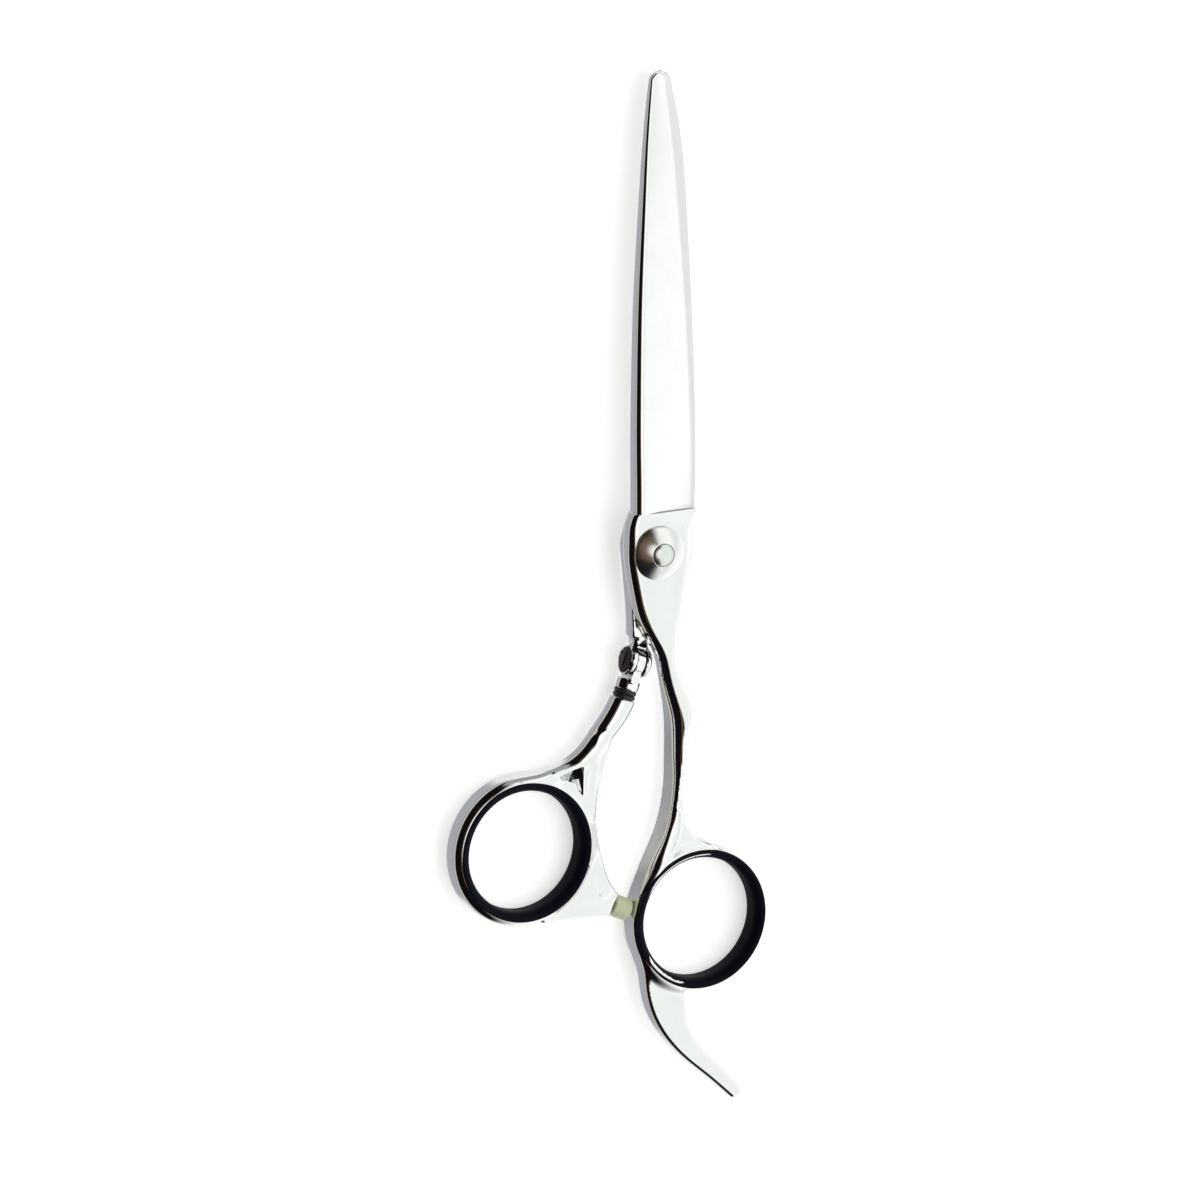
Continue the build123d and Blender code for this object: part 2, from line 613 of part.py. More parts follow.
def thumb_webs():
    """Thin webs: left and right of the stem's foot, and the arm that carries the bumper."""
    left_start, left_end = (-9.4, -29.6), (-21.8, -34.8)
    left_edge = Spline(left_start, (-12.2, -32.6), (-16.2, -34.2), left_end, tangents=[(-0.6, -0.8), (-1, 0)])
    left_rest = Polyline(left_end, (-15.0, -40.0), left_start)
    right_start, right_end = (-6.6, -30.0), (-9.4, -46.0)
    right_edge = Spline(right_start, (-8.2, -34.2), (-9.1, -39.5), right_end, tangents=[(-0.4, -1), (0, -1)])
    right_rest = Polyline(right_end, (-13.5, -42.0), right_start)
    turn = math.radians(BUMPER_TURN)
    seat_x, seat_y = BUMPER_SEAT
    half_x, half_y = -math.sin(turn) * BUMPER_R, math.cos(turn) * BUMPER_R
    seat_top = (seat_x + half_x, seat_y + half_y)
    seat_low = (seat_x - half_x, seat_y - half_y)
    arm_start, arm_end = (-9.4, -44.0), (-18.3, -59.7)
    arm_top = Spline(arm_start, (-8.7, -48.4), seat_top, tangents=[(0, -1), (0.45, -1)])
    arm_low = Spline(seat_low, (-11.0, -59.7), arm_end, tangents=[(-1, 0), (-1, 0.1)])
    arm_rest = Polyline(arm_end, (-14.0, -48.0), arm_start)
    outlines = [left_edge + left_rest, right_edge + right_rest]
    outlines.append(arm_top + Line(seat_top, seat_low) + arm_low + arm_rest)
    left, right, arm = [plate(outline, WEB_LOW_Z, WEB_HIGH_Z) for outline in outlines]
    return left + right + arm


def stem_cuts():
    """The square end face, the bore for the swivel bush and the hole of its retaining screw."""
    beyond_face = along_swivel(rod(5, -4, 0), STEM_FACE)
    bore = along_swivel(rod(SWIVEL_BUSH_R, -1, POST_END + 0.2 - STEM_FACE), STEM_FACE)
    return beyond_face + bore + retainer_hole(RETAINER_R)


def along_bumper(solid):
    """Place a solid made on +Z on the bumper's axis, starting at its seat."""
    turn = math.radians(BUMPER_TURN)
    run = Vector(math.cos(turn), math.sin(turn), 0)
    return Plane(origin=(*BUMPER_SEAT, RING_MID_Z), x_dir=(0, 0, 1), z_dir=run).location * solid


def make_thumb_ring():
    """Thumb ring, its bent stem and the arm for the bumper, in one piece."""
    part = ring_band(THUMB_RING_CENTRE, THUMB_RING_R)
    part += thumb_stem()
    part += thumb_webs()
    part -= ring_bore(THUMB_RING_CENTRE)
    part -= stem_cuts()
    part -= along_bumper(rod(STUD_R, -STUD_DEPTH, 1))
    return part


def make_bumper():
    """Soft silent stop that meets the finger shank."""
    straight = BUMPER_LENGTH - BUMPER_DOME
    tip_r = BUMPER_R - 0.1
    outline = Polyline((0, 0, BUMPER_LENGTH), (0, 0, 0), (BUMPER_R, 0, 0), (tip_r, 0, straight))
    body = revolve(make_face(outline + dome_arc(tip_r, straight, BUMPER_LENGTH)), Axis.Z)
    return along_bumper(body - rod(STUD_R, -1, STUD_IN_BUMPER))


def make_bumper_stud():
    """Threaded peg that holds the bumper in the arm."""
    return along_bumper(rod(STUD_R, -STUD_DEPTH, STUD_IN_BUMPER))


# ------------------------------------------------------------------ ring inserts
def make_insert(centre):
    """Soft ring insert with a lip over each face of the metal ring."""
    low = RING_LOW_Z + LIP_SEAT_DEPTH - LIP_THICKNESS
    high = RING_HIGH_Z - LIP_SEAT_DEPTH + LIP_THICKNESS
    outline = Polyline(
        (INSERT_HOLE_R, low), (LIP_R, low), (LIP_R, low + LIP_THICKNESS),
        (RING_BORE_R, low + LIP_THICKNESS), (RING_BORE_R, high - LIP_THICKNESS),
        (LIP_R, high - LIP_THICKNESS), (LIP_R, high), (INSERT_HOLE_R, high), close=True,
    )
    profile = make_face(outline)
    inner_corners = profile.vertices().group_by(Axis.X)[0]
    profile = fillet(inner_corners, INSERT_ROUNDING)
    insert = revolve(Plane.XZ * profile, Axis.Z)
    return Pos(centre[0], centre[1], 0) * insert


# ------------------------------------------------------------------ output
PIECES = {
    "finger_blade": make_finger_blade(),
    "thumb_blade": make_thumb_blade(),
    "pivot_bolt": make_pivot_bolt(),
    "glide_washer": make_glide_washer(),
    "pivot_bush": make_pivot_bush(),
    "spring_washer": make_spring_washer(),
    "click_plate": make_click_plate(),
    "tension_dial": make_tension_dial(),
    "dial_cap_screw": make_dial_cap_screw(),
    "swivel_cross_screw": make_cross_screw(),
    "knuckle_washers": make_knuckle_washers(),
    "knuckle_bush": make_knuckle_bush(),
    "swivel_link": make_swivel_link(),
    "collar_washers": make_collar_washers(),
    "swivel_bush": make_swivel_bush(),
    "swivel_retaining_screw": make_swivel_retaining_screw(),
    "thumb_ring": make_thumb_ring(),
    "bumper": make_bumper(),
    "bumper_stud": make_bumper_stud(),
    "finger_ring_insert": make_insert(FINGER_RING_CENTRE),
    "thumb_ring_insert": make_insert(THUMB_RING_CENTRE),
}

for node, piece in PIECES.items():
    save(piece, node)
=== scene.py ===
import json
import math

import bmesh
import bpy
import numpy as np
from mathutils import Matrix, Vector


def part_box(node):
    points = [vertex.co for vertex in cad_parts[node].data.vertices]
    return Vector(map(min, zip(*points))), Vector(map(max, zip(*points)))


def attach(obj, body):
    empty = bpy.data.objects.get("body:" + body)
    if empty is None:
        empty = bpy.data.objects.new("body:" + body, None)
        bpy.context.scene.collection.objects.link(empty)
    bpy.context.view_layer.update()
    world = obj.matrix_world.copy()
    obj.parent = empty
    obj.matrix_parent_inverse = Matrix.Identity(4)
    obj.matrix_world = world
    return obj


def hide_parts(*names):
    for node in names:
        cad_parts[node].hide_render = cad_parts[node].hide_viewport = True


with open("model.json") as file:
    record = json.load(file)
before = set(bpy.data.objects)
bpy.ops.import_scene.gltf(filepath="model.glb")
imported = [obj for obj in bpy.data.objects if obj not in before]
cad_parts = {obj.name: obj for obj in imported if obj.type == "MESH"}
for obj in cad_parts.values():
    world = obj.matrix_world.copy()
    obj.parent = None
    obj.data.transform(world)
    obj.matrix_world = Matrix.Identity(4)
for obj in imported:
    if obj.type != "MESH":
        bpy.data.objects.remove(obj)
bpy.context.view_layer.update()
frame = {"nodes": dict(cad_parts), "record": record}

# Hair cutting shears: the polished halves, ring inserts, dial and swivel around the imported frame.
# Frame: +Y along the blades to the tips, +X towards the finger blade's edge, +Z up through the
# dial. Shapes are worked out in millimetres and scaled by MM when a mesh is made.
MM = 0.001


def centre_of(node):
    """Middle of a node's box in the plan, in millimetres."""
    low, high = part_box(node)
    return (low.x + high.x) / 2 / MM, (low.y + high.y) / 2 / MM


# ------------------------------------------------------------------ driving dimensions
RIDE_Z = 3.30              # the plane in which the two blades slide
RIDE_GAP = 0.12            # between the two blades
TIP_Y = 78.2
HEEL_Y = 6.6               # plunge line between ground blade and hub
HUB_TOP_Z = 6.3
RING_LOW_Z = 0.30
RING_HIGH_Z = 4.70
RING_MID_Z = (RING_LOW_Z + RING_HIGH_Z) / 2
RING_BORE_R = 10.55
LIP_R = 11.45
LIP_THICKNESS = 0.50
LIP_SEAT_DEPTH = 0.20      # how deep each lip sits in the ring's steel
LIP_ROUNDING = 0.22
LIP_ROLL_HEIGHT = 1.7      # how far the rolled inner edge reaches down the hole
INSERT_HOLE_R = 9.90
FINGER_RING_R = 11.88
FINGER_RING_CROWN = 0.85   # rounding of the ring's upper outer edge
THUMB_RING_R = 12.4
THUMB_RING_CROWN = 1.50
FINGER_RING_CENTRE = centre_of("finger_ring_insert")
THUMB_RING_CENTRE = centre_of("thumb_ring_insert")

# Pivot, from the underside up
BOLT_HEAD_R = 3.50
BOLT_HEAD_TOP_Z = 0.90
BOLT_NECK_R = 2.60
BOLT_NECK_TOP_Z = 2.20
BOLT_NECK_BORE_R = 2.90
BOLT_R = 2.00
BOLT_TOP_Z = 6.15
THREAD_R = 1.30
THREAD_TOP_Z = 7.50
THREAD_BORE_R = 0.70       # hole for the cap's pin
SPANNER_HOLE_R = 0.45
SPANNER_HOLE_DEPTH = 0.50
SPANNER_HOLE_OFFSET = 2.20
GLIDE_R = 3.80             # bearing washer between the hubs
GLIDE_LOW_Z = 3.06
GLIDE_HIGH_Z = 3.53
BUSH_R = 2.75
SPRING_SEAT_R = 3.45       # recess in the finger half's top, under the dial
SPRING_SEAT_Z = 5.60
DIAL_R = 4.40
DIAL_RIM = (4.36, 6.70)    # radius and height where the dial's dome starts
DIAL_TOP = (1.90, 8.03)    # and where it meets the cap
DIAL_DOME = 0.07           # swell of the dome above a plain cone
CAP_R = 1.80
CAP_CROWN = (0.55, 8.42)   # edge of the shallow hollow in the cap
CAP_HOLLOW_Z = 8.36

KNUCKLE = (-2.00, -18.6)   # centre of the cross screw
SWIVEL_LEAN = math.radians(19.0)
KNUCKLE_R = 2.40
KNUCKLE_HALF_LENGTH = 1.85
FORK_LOW_Z = 0.12          # underside of the fork
HEAD_SEAT_DEPTH = 0.25
CROSS_HEAD_R = 2.05        # flat head of the cross screw
CROSS_HEAD_PROUD = 0.15    # how far the head stands out of the fork
CROSS_HEAD_THICKNESS = 0.40
CROSS_HEAD_BEVEL = 0.15
CROSS_PIN_R = 0.75
CROSS_PIN_END = KNUCKLE_HALF_LENGTH - 0.30
SLOT_HALF = 0.90
SLOT_DEPTH = 2.45
TONGUE_R = 2.32            # end of the link inside the fork
TONGUE_HALF = 0.74
TONGUE_BORE_R = 1.10
# Down the swivel axis from the cross screw
LINK_SHOULDER = 2.80
LINK_FACE = 4.60
STEM_FACE = 6.10
POST_END = 9.60
POST_R = 0.95
POST_BORE_R = 1.35
GROOVE_MIDDLE = 8.70
GROOVE_HALF = 0.45
GROOVE_R = 0.62
SHOULDER_R = 2.00
LINK_NECK_END = 3.20
LINK_NECK_HALF_WIDTH = 0.70
LINK_NECK_HALF_HEIGHT = 1.95
COLLAR_R = 1.85            # the two washers between link and stem
COLLAR_BORE_R = 0.98
COLLAR_THICKNESS = 0.68
COLLAR_ROLL = (0.15, 0.16) # across and along the washer

BUMPER_SEAT = (-5.60, -58.13)
BUMPER_TURN = math.radians(-24.0)
BUMPER_R = 1.90            # half the width of the arm where the bumper sits
BUMPER_LENGTH = 3.75
BUMPER_DOME = 0.80
BUMPER_NOSE_R = 1.83
BUMPER_HOLE_R = 0.70       # hole for the stud
BUMPER_HOLE_DEPTH = 1.50

BELOW, ABOVE = -1.0, 9.0   # levels that clear every steel half, for cutters
BORE_EDGE = 0.05           # how far the edge of a bored hole is broken
CELL = 0.20                # grid of the smooth forged shapes
TABLE_STEP = 0.05          # spacing at which smooth curves are tabulated


# ------------------------------------------------------------------ smooth curves
def smooth_curve(knots, values, at):
    """Natural cubic spline through the values at the knots, read at the given places."""
    knots, values = np.asarray(knots, float), np.asarray(values, float)
    gap = np.diff(knots)
    slope = np.diff(values) / gap
    size = len(knots)
    system, target = np.eye(size), np.zeros(size)
    for i in range(1, size - 1):
        system[i, i - 1:i + 2] = gap[i - 1], 2 * (gap[i - 1] + gap[i]), gap[i]
        target[i] = 6 * (slope[i] - slope[i - 1])
    bend = np.linalg.solve(system, target)
    i = np.clip(np.searchsorted(knots, at) - 1, 0, size - 2)
    after, before, h = at - knots[i], knots[i + 1] - at, gap[i]
    cubic = (bend[i] * before**3 + bend[i + 1] * after**3) / (6 * h)
    line = (values[i] / h - bend[i] * h / 6) * before
    return cubic + line + (values[i + 1] / h - bend[i + 1] * h / 6) * after


def along(stations):
    """Smooth curves through stations whose first value is the place: f(place) gives the others."""
    rows = np.array(sorted(stations), float)
    fine = np.arange(rows[0, 0], rows[-1, 0] + TABLE_STEP, TABLE_STEP)
    curves = [smooth_curve(rows[:, 0], column, fine) for column in rows[:, 1:].T]
    return lambda place: [np.interp(place, fine, curve) for curve in curves]


def path_through(stations, count=40):
    """Points of a smooth curve through stations, evenly spaced by their straight distance."""
    rows = np.array(stations, float)
    steps = np.hypot(*np.diff(rows[:, :2], axis=0).T)
    knots = np.concatenate([[0], np.cumsum(steps)])
    at = np.linspace(0, knots[-1], count)
    return np.stack([smooth_curve(knots, column, at) for column in rows.T], axis=1)


# ------------------------------------------------------------------ distance fields
def rounded(faces, radius):
    """Inside of all the faces, with the edges between them rounded."""
    raised = [face + radius for face in faces]
    outside = np.sqrt(sum(np.maximum(face, 0)**2 for face in raised))
    deepest = raised[0]
    for face in raised[1:]:
        deepest = np.maximum(deepest, face)
    return outside + np.minimum(deepest, 0) - radius


def blend(a, b, reach):
    """Union of two shapes with a fillet about as wide as the reach."""
    share = np.clip(0.5 + 0.5 * (b - a) / reach, 0, 1)
    return b * (1 - share) + a * share - reach * share * (1 - share)


def cut(shape, tool, radius=BORE_EDGE):
    """Shape without the tool, with a softly broken edge."""
    return rounded([shape, -tool], radius)


def upright_disc(x, y, z, radius, low, high, centre=(0, 0)):
    """Cylinder between two levels."""
    return rounded([np.hypot(x - centre[0], y - centre[1]) - radius, low - z, z - high], 0.05)


def plan_distance(x, y, outline):
    """Distance in plan from a closed outline, negative inside."""
    nearest = np.full(np.broadcast(x, y).shape, np.inf)
    inside = np.zeros(nearest.shape, bool)
    points = np.array(outline, float)
    for (x0, y0), (x1, y1) in zip(points, np.roll(points, -1, axis=0)):
        run_x, run_y = x1 - x0, y1 - y0
        px, py = x - x0, y - y0
        share = np.clip((px * run_x + py * run_y) / (run_x**2 + run_y**2 + 1e-12), 0, 1)
        nearest = np.minimum(nearest, np.hypot(px - share * run_x, py - share * run_y))
        if y1 != y0:
            inside ^= ((y0 > y) != (y1 > y)) & (px < py * run_x / run_y)
    return np.where(inside, -nearest, nearest)


def flat_plate(x, y, z, outline, levels):
    """Plate with a closed outline in plan, between two levels."""
    low, high = levels
    return rounded([plan_distance(x, y, outline), low - z, z - high], 0.3)


def ribbon(x, y, stations):
    """Distance in plan from a bent strip of (x, y, width, ...) stations, and each point's other values."""
    path = path_through(stations)
    side = np.full(np.broadcast(x, y).shape, np.inf)
    extra = [np.zeros(side.shape) for _ in range(path.shape[1] - 3)]
    for start, end in zip(path[:-1], path[1:]):
        run = end - start
        px, py = x - start[0], y - start[1]
        share = np.clip((px * run[0] + py * run[1]) / (run[0]**2 + run[1]**2), 0, 1)
        reach = np.hypot(px - share * run[0], py - share * run[1])
        here = reach - (start[2] + share * run[2]) / 2
        closer = here < side
        side = np.where(closer, here, side)
        extra = [
            np.where(closer, start[3 + i] + share * run[3 + i], values)
            for i, values in enumerate(extra)
        ]
    return side, extra


def swivel_frame(x, y):
    """Distances down the swivel axis and along the cross screw."""
    px, py = x - KNUCKLE[0], y - KNUCKLE[1]
    down = -px * math.sin(SWIVEL_LEAN) - py * math.cos(SWIVEL_LEAN)
    across = px * math.cos(SWIVEL_LEAN) - py * math.sin(SWIVEL_LEAN)
    return down, across


# ------------------------------------------------------------------ surfaces from fields
def gradient(distance, points, step=0.02):
    """Slope of the field at each point."""
    slopes = []
    for axis in range(3):
        shift = np.zeros(3)
        shift[axis] = step
        slopes.append(distance(*(points + shift).T) - distance(*(points - shift).T))
    return np.stack(slopes, axis=1) / (2 * step)


def settle(distance, points, rounds, cell):
    """Moves points onto the surface by Newton steps."""
    for _ in range(rounds):
        value = distance(*points.T)
        slope = gradient(distance, points)
        step = value / np.maximum((slope**2).sum(axis=1), 0.2)
        points = points - np.clip(step, -cell, cell)[:, None] * slope
    return points


def even_out(points, quads, share=0.5):
    """Moves each point towards the middle of its neighbours."""
    total, count = np.zeros_like(points), np.zeros(len(points))
    for a, b in ((0, 1), (1, 2), (2, 3), (3, 0)):
        for start, end in ((a, b), (b, a)):
            np.add.at(total, quads[:, start], points[quads[:, end]])
            np.add.at(count, quads[:, start], 1)
    return points + share * (total / count[:, None] - points)


def surface(distance, low, high, cell=CELL):
    """Even quads on the surface where the field is zero: surface nets, then Newton steps."""
    low = np.array(low, float) - 2 * cell
    size = np.ceil((np.array(high) + 2 * cell - low) / cell).astype(int)
    axes = [low[i] + cell * np.arange(size[i] + 1) for i in range(3)]
    value = distance(*np.meshgrid(*axes, indexing="ij", sparse=True))
    inside = value < 0
    corners = [np.array([i, j, k]) for i in (0, 1) for j in (0, 1) for k in (0, 1)]
    filled = sum(
        inside[c[0]:c[0] + size[0], c[1]:c[1] + size[1], c[2]:c[2] + size[2]].astype(np.int8)
        for c in corners
    )
    crossed = (filled > 0) & (filled < 8)
    index = np.full(crossed.shape, -1)
    index[crossed] = np.arange(crossed.sum())
    cells = np.argwhere(crossed)
    total, hits = np.zeros((len(cells), 3)), np.zeros(len(cells))
    for start in corners:
        for end in corners:
            if (end - start).min() < 0 or (end - start).sum() != 1:
                continue
            a, b = value[tuple((cells + start).T)], value[tuple((cells + end).T)]
            crossing = (a < 0) != (b < 0)
            share = np.where(crossing, a / np.where(crossing, a - b, 1), 0)
            total += crossing[:, None] * (start + share[:, None] * (end - start))
            hits += crossing
    points = low + (cells + total / hits[:, None]) * cell
    quads = []
    for axis in range(3):
        u, v = np.eye(3, dtype=int)[(axis + 1) % 3], np.eye(3, dtype=int)[(axis + 2) % 3]
        ahead = np.take(inside, range(1, size[axis] + 1), axis)
        behind = np.take(inside, range(size[axis]), axis)
        edges = np.argwhere(ahead != behind)
        ring = [index[tuple((edges - s).T)] for s in (0 * u, u, u + v, v)]
        quad = np.stack(ring, axis=1)
        flip = ~inside[tuple(edges.T)]
        quad[flip] = quad[flip, ::-1]
        quads.append(quad)
    quads = np.concatenate(quads)
    points = settle(distance, points, 3, cell)
    for _ in range(3):
        points = settle(distance, even_out(points, quads), 1, cell)
    points = settle(distance, points, 2, cell)
    return points, quads


def add_mesh(name, points, faces):
    """New object from points in millimetres."""
    mesh = bpy.data.meshes.new(name)
    mesh.from_pydata((np.asarray(points) * MM).tolist(), [], [list(map(int, f)) for f in faces])
    mesh.validate()
    mesh.update()
    piece = bpy.data.objects.new(name, mesh)
    bpy.context.scene.collection.objects.link(piece)
    return piece


def outward(piece):
    """Makes every face look outwards."""
    bm = bmesh.new()
    bm.from_mesh(piece.data)
    bmesh.ops.recalc_face_normals(bm, faces=bm.faces)
    bm.to_mesh(piece.data)
    bm.free()
    return piece


def smooth(piece, sharp_angle=30):
    """Smooth shading, with a crisp line wherever faces meet at more than the angle."""
    piece.data.shade_smooth()
    piece.data.set_sharp_from_angle(angle=math.radians(sharp_angle))
    return piece


def forged(name, distance, low, high, cell=CELL):
    """Object with the smooth skin of a field."""
    return smooth(outward(add_mesh(name, *surface(distance, low, high, cell))))


def apply_modifiers(piece):
    """Replaces the object's mesh with what its modifiers make of it."""
    evaluated = piece.evaluated_get(bpy.context.evaluated_depsgraph_get())
    mesh = bpy.data.meshes.new_from_object(evaluated)
    piece.modifiers.clear()
    piece.data = mesh
    return piece


def combined(piece, other, operation):
    """Boolean of two closed objects. The other object is used up."""
    modifier = piece.modifiers.new("boolean", "BOOLEAN")
    modifier.object = other
    modifier.operation = operation
    modifier.solver = "MANIFOLD"
    bpy.context.view_layer.update()
    apply_modifiers(piece)
    bpy.data.objects.remove(other)
    return piece


def lathe(name, profile, place=Matrix.Identity(4), segments=128, softness=0.06):
    """Turned piece from (radius, height) points, with its edges broken."""
    points, faces = [], []
    count = len(profile)
    for i in range(segments):
        turn = 2 * math.pi * i / segments
        points += [(r * math.cos(turn), r * math.sin(turn), h) for r, h in profile]
    for i in range(segments):
        j = (i + 1) % segments
        for k in range(count):
            m = (k + 1) % count
            faces.append((i * count + k, j * count + k, j * count + m, i * count + m))
    piece = add_mesh(name, points, faces)
    bm = bmesh.new()
    bm.from_mesh(piece.data)
    bmesh.ops.remove_doubles(bm, verts=bm.verts, dist=0.0005 * MM)
    bmesh.ops.dissolve_degenerate(bm, edges=bm.edges, dist=0.0005 * MM)
    bm.to_mesh(piece.data)
    bm.free()
    place = place.copy()
    place.translation = place.translation * MM
    piece.data.transform(place)
    outward(piece)
    if softness:
        bevel = piece.modifiers.new("soft edges", "BEVEL")
        bevel.width = softness * MM
        bevel.segments = 3
        bevel.limit_method = "ANGLE"
        bevel.angle_limit = math.radians(28)
        bpy.context.view_layer.update()
        apply_modifiers(piece)
    return smooth(piece, 40)


# ------------------------------------------------------------------ blades
# y, spine x, edge x, spine height, width of the facet behind the edge
FINGER_BLADE_STATIONS = [
    (HEEL_Y - 2.6, -3.75, 7.50, 2.92, 0.9),
    (11.0, -3.85, 7.65, 2.86, 0.9),
    (17.0, -4.00, 7.55, 2.78, 1.0),
    (26.0, -4.10, 7.20, 2.66, 1.2),
    (41.0, -4.00, 6.30, 2.35, 1.6),
    (57.0, -3.40, 5.05, 1.90, 2.1),
    (68.0, -2.80, 3.75, 1.45, 2.2),
    (74.5, -2.25, 2.40, 1.15, 1.7),
    (TIP_Y, -1.85, 1.55, 0.90, 1.1),
]
THUMB_BLADE_STATIONS = [
    (y, edge + 0.10, spine + 0.50, height, facet)
    for y, spine, edge, height, facet in FINGER_BLADE_STATIONS
]
EDGE_HEIGHT = 0.12
FACET_SLOPE = 0.36
SPINE_ROUNDING = 0.34       # share of the spine's height that its upper edge takes
FRONT_LAND = 0.6            # flat strip along the edge, on the hollow inner face
FRONT_LAND_SHARE = 0.15     # it takes no more than this share of the blade's width
BACK_LAND_SHARE = 0.4       # the strip along the spine, as a share of the front one
HOLLOW_DEPTH = 0.22
HOLLOW_FULLNESS = 0.8
FACE_CROWN = 0.06
TIP_ROUNDING = 1.3          # length over which the tip closes
TIP_WIDTH_LEFT = 0.16       # share of the width left at the very end
TIP_THINNING = 0.25
TIP_MIDDLE = 0.6            # where the tip closes to, from the spine to the edge
BLADE_ROWS = 170
ROW_CROWDING = 1.5          # puts more rows near the tip


def blade_section(width, height, facet):
    """(across, up) points round a blade: hollow inner face, edge, facet, crowned face, spine."""
    bevel = SPINE_ROUNDING * height
    ridge = EDGE_HEIGHT + FACET_SLOPE * facet
    land = min(FRONT_LAND, FRONT_LAND_SHARE * width)
    back_land = BACK_LAND_SHARE * land
    section = []
    for t in np.linspace(0, 1, 17):
        depth = HOLLOW_DEPTH * math.sin(math.pi * t)**HOLLOW_FULLNESS
        section.append((back_land + t * (width - back_land - land), depth))
    section += [(width, 0), (width, EDGE_HEIGHT)]
    for t in np.linspace(0.15, 1, 6):
        section.append((width - facet * t, EDGE_HEIGHT + (ridge - EDGE_HEIGHT) * t))
    for t in np.linspace(0.06, 1, 18):
        crown = FACE_CROWN * 4 * t * (1 - t)
        section.append((width - facet + t * (bevel - width + facet), ridge + t * (height - ridge) + crown))
    for turn in np.linspace(0.1, 1, 10):
        a = turn * math.pi / 2
        section.append((bevel * (1 - math.sin(a)), height - bevel * (1 - math.cos(a))))
    section += [(0, 0.5 * height), (0, 0)]
    return section


def ground_blade(name, stations, inner_z, up):
    """Hollow-ground blade from inside the hub to its rounded tip."""
    curves = along(stations)
    start = stations[0][0]
    rows = []
    for t in np.linspace(0, 1, BLADE_ROWS):
        y = start + (TIP_Y - start) * (1 - (1 - t)**ROW_CROWDING)
        spine, edge, height, facet = (float(v) for v in curves(y))
        left = max(0.0, 1 - max(0.0, (y - TIP_Y + TIP_ROUNDING) / TIP_ROUNDING)**2)
        taper = TIP_WIDTH_LEFT + (1 - TIP_WIDTH_LEFT) * math.sqrt(left)
        middle = TIP_MIDDLE * edge + (1 - TIP_MIDDLE) * spine
        spine, edge = middle + (spine - middle) * taper, middle + (edge - middle) * taper
        thickness = height * (1 - TIP_THINNING * (1 - taper))
        section = blade_section(abs(edge - spine), thickness, facet * taper)
        toward = 1 if edge > spine else -1
        rows.append([(spine + toward * s, y, inner_z + up * h) for s, h in section])
    count = len(rows[0])
    faces = [
        (i * count + k, i * count + (k + 1) % count, (i + 1) * count + (k + 1) % count, (i + 1) * count + k)
        for i in range(BLADE_ROWS - 1) for k in range(count)
    ]
    faces += [range(count), range((BLADE_ROWS - 1) * count, BLADE_ROWS * count)]
    return outward(add_mesh(name, [p for row in rows for p in row], faces))


# ------------------------------------------------------------------ finger half
# y, left x, right x, low z, high z, width and drop of the right bevel, lean of the left side,
# rounding of the left top edge
FINGER_SHANK = along([
    (HEEL_Y + 0.6, -3.98, 7.55, 3.40, 6.28, 2.6, 1.5, 0.00, 1.05),
    (4.4, -4.90, 7.20, 3.40, 6.30, 2.4, 1.5, 0.00, 1.20),
    (2.0, -5.00, 7.00, 3.40, 6.30, 2.1, 1.4, 0.00, 1.30),
    (-1.0, -4.93, 6.85, 3.40, 6.30, 1.9, 1.4, 0.00, 1.35),
    (-4.0, -4.45, 6.60, 3.40, 6.30, 2.0, 1.4, 0.00, 1.40),
    (-7.0, -3.80, 6.35, 3.40, 6.30, 2.2, 1.4, 0.00, 1.40),
    (-10.5, -2.85, 5.85, 3.40, 6.28, 2.3, 1.4, 0.00, 1.40),
    (-13.0, -1.70, 5.55, 3.40, 6.25, 2.4, 1.4, 0.00, 1.45),
    (-17.0, 0.50, 5.40, 3.40, 6.05, 2.4, 1.5, 0.00, 1.55),
    (-21.0, 1.72, 5.75, 3.10, 5.60, 1.8, 1.3, 0.00, 1.60),
    (-25.0, 3.02, 8.10, 1.90, 5.10, 1.8, 1.4, 0.08, 1.75),
    (-28.3, 4.02, 9.83, 0.80, 4.85, 3.0, 1.6, 0.20, 1.90),
    (-31.5, 4.37, 8.13, 0.40, 4.70, 2.2, 1.4, 0.35, 1.90),
    (-35.0, 4.42, 7.23, 0.37, 4.62, 1.4, 1.2, 0.45, 1.65),
    (-38.0, 4.47, 6.73, 0.37, 4.60, 1.2, 1.2, 0.50, 1.40),
    (-42.5, 4.07, 6.33, 0.37, 4.60, 1.2, 1.2, 0.50, 1.20),
    (-47.0, 2.97, 6.18, 0.37, 4.60, 1.2, 1.2, 0.65, 1.15),
    (-52.0, 0.77, 4.18, 0.37, 4.60, 1.2, 1.2, 0.65, 1.45),
    (-57.0, -1.08, 1.38, 0.37, 4.60, 0.9, 1.0, 0.40, 1.30),
    (-61.7, -1.98, -0.92, 0.62, 4.40, 0.3, 0.6, 0.20, 0.60),
])
# x, y, width, low z, high z
TANG_STATIONS = [
    (1.6, -68.5, 3.0, 0.70, 4.30),
    (4.2, -74.8, 6.2, 0.80, 4.20),
    (5.8, -79.4, 4.6, 0.90, 4.10),
    (8.8, -83.6, 3.3, 1.00, 4.00),
    (12.9, -87.4, 2.7, 1.10, 3.90),
    (17.0, -91.3, 2.3, 1.30, 3.70),
]
# Flat panel round the dial: where it ends, and the ramp that falls away from it
PANEL_CORNER = (3.2, 4.0)
PANEL_DOWNHILL = (0.325, 0.946)
RAMP_SLOPE = 0.33
SHANK_END_Y = -62.0
FINGER_WEB = [(6.2, -42.0), (6.9, -45.8), (8.4, -48.2), (11.4, -49.7),
              (9.7, -55.0), (1.0, -56.0), (4.2, -46.0)]
FINGER_WEB_Z = (0.8, 4.2)


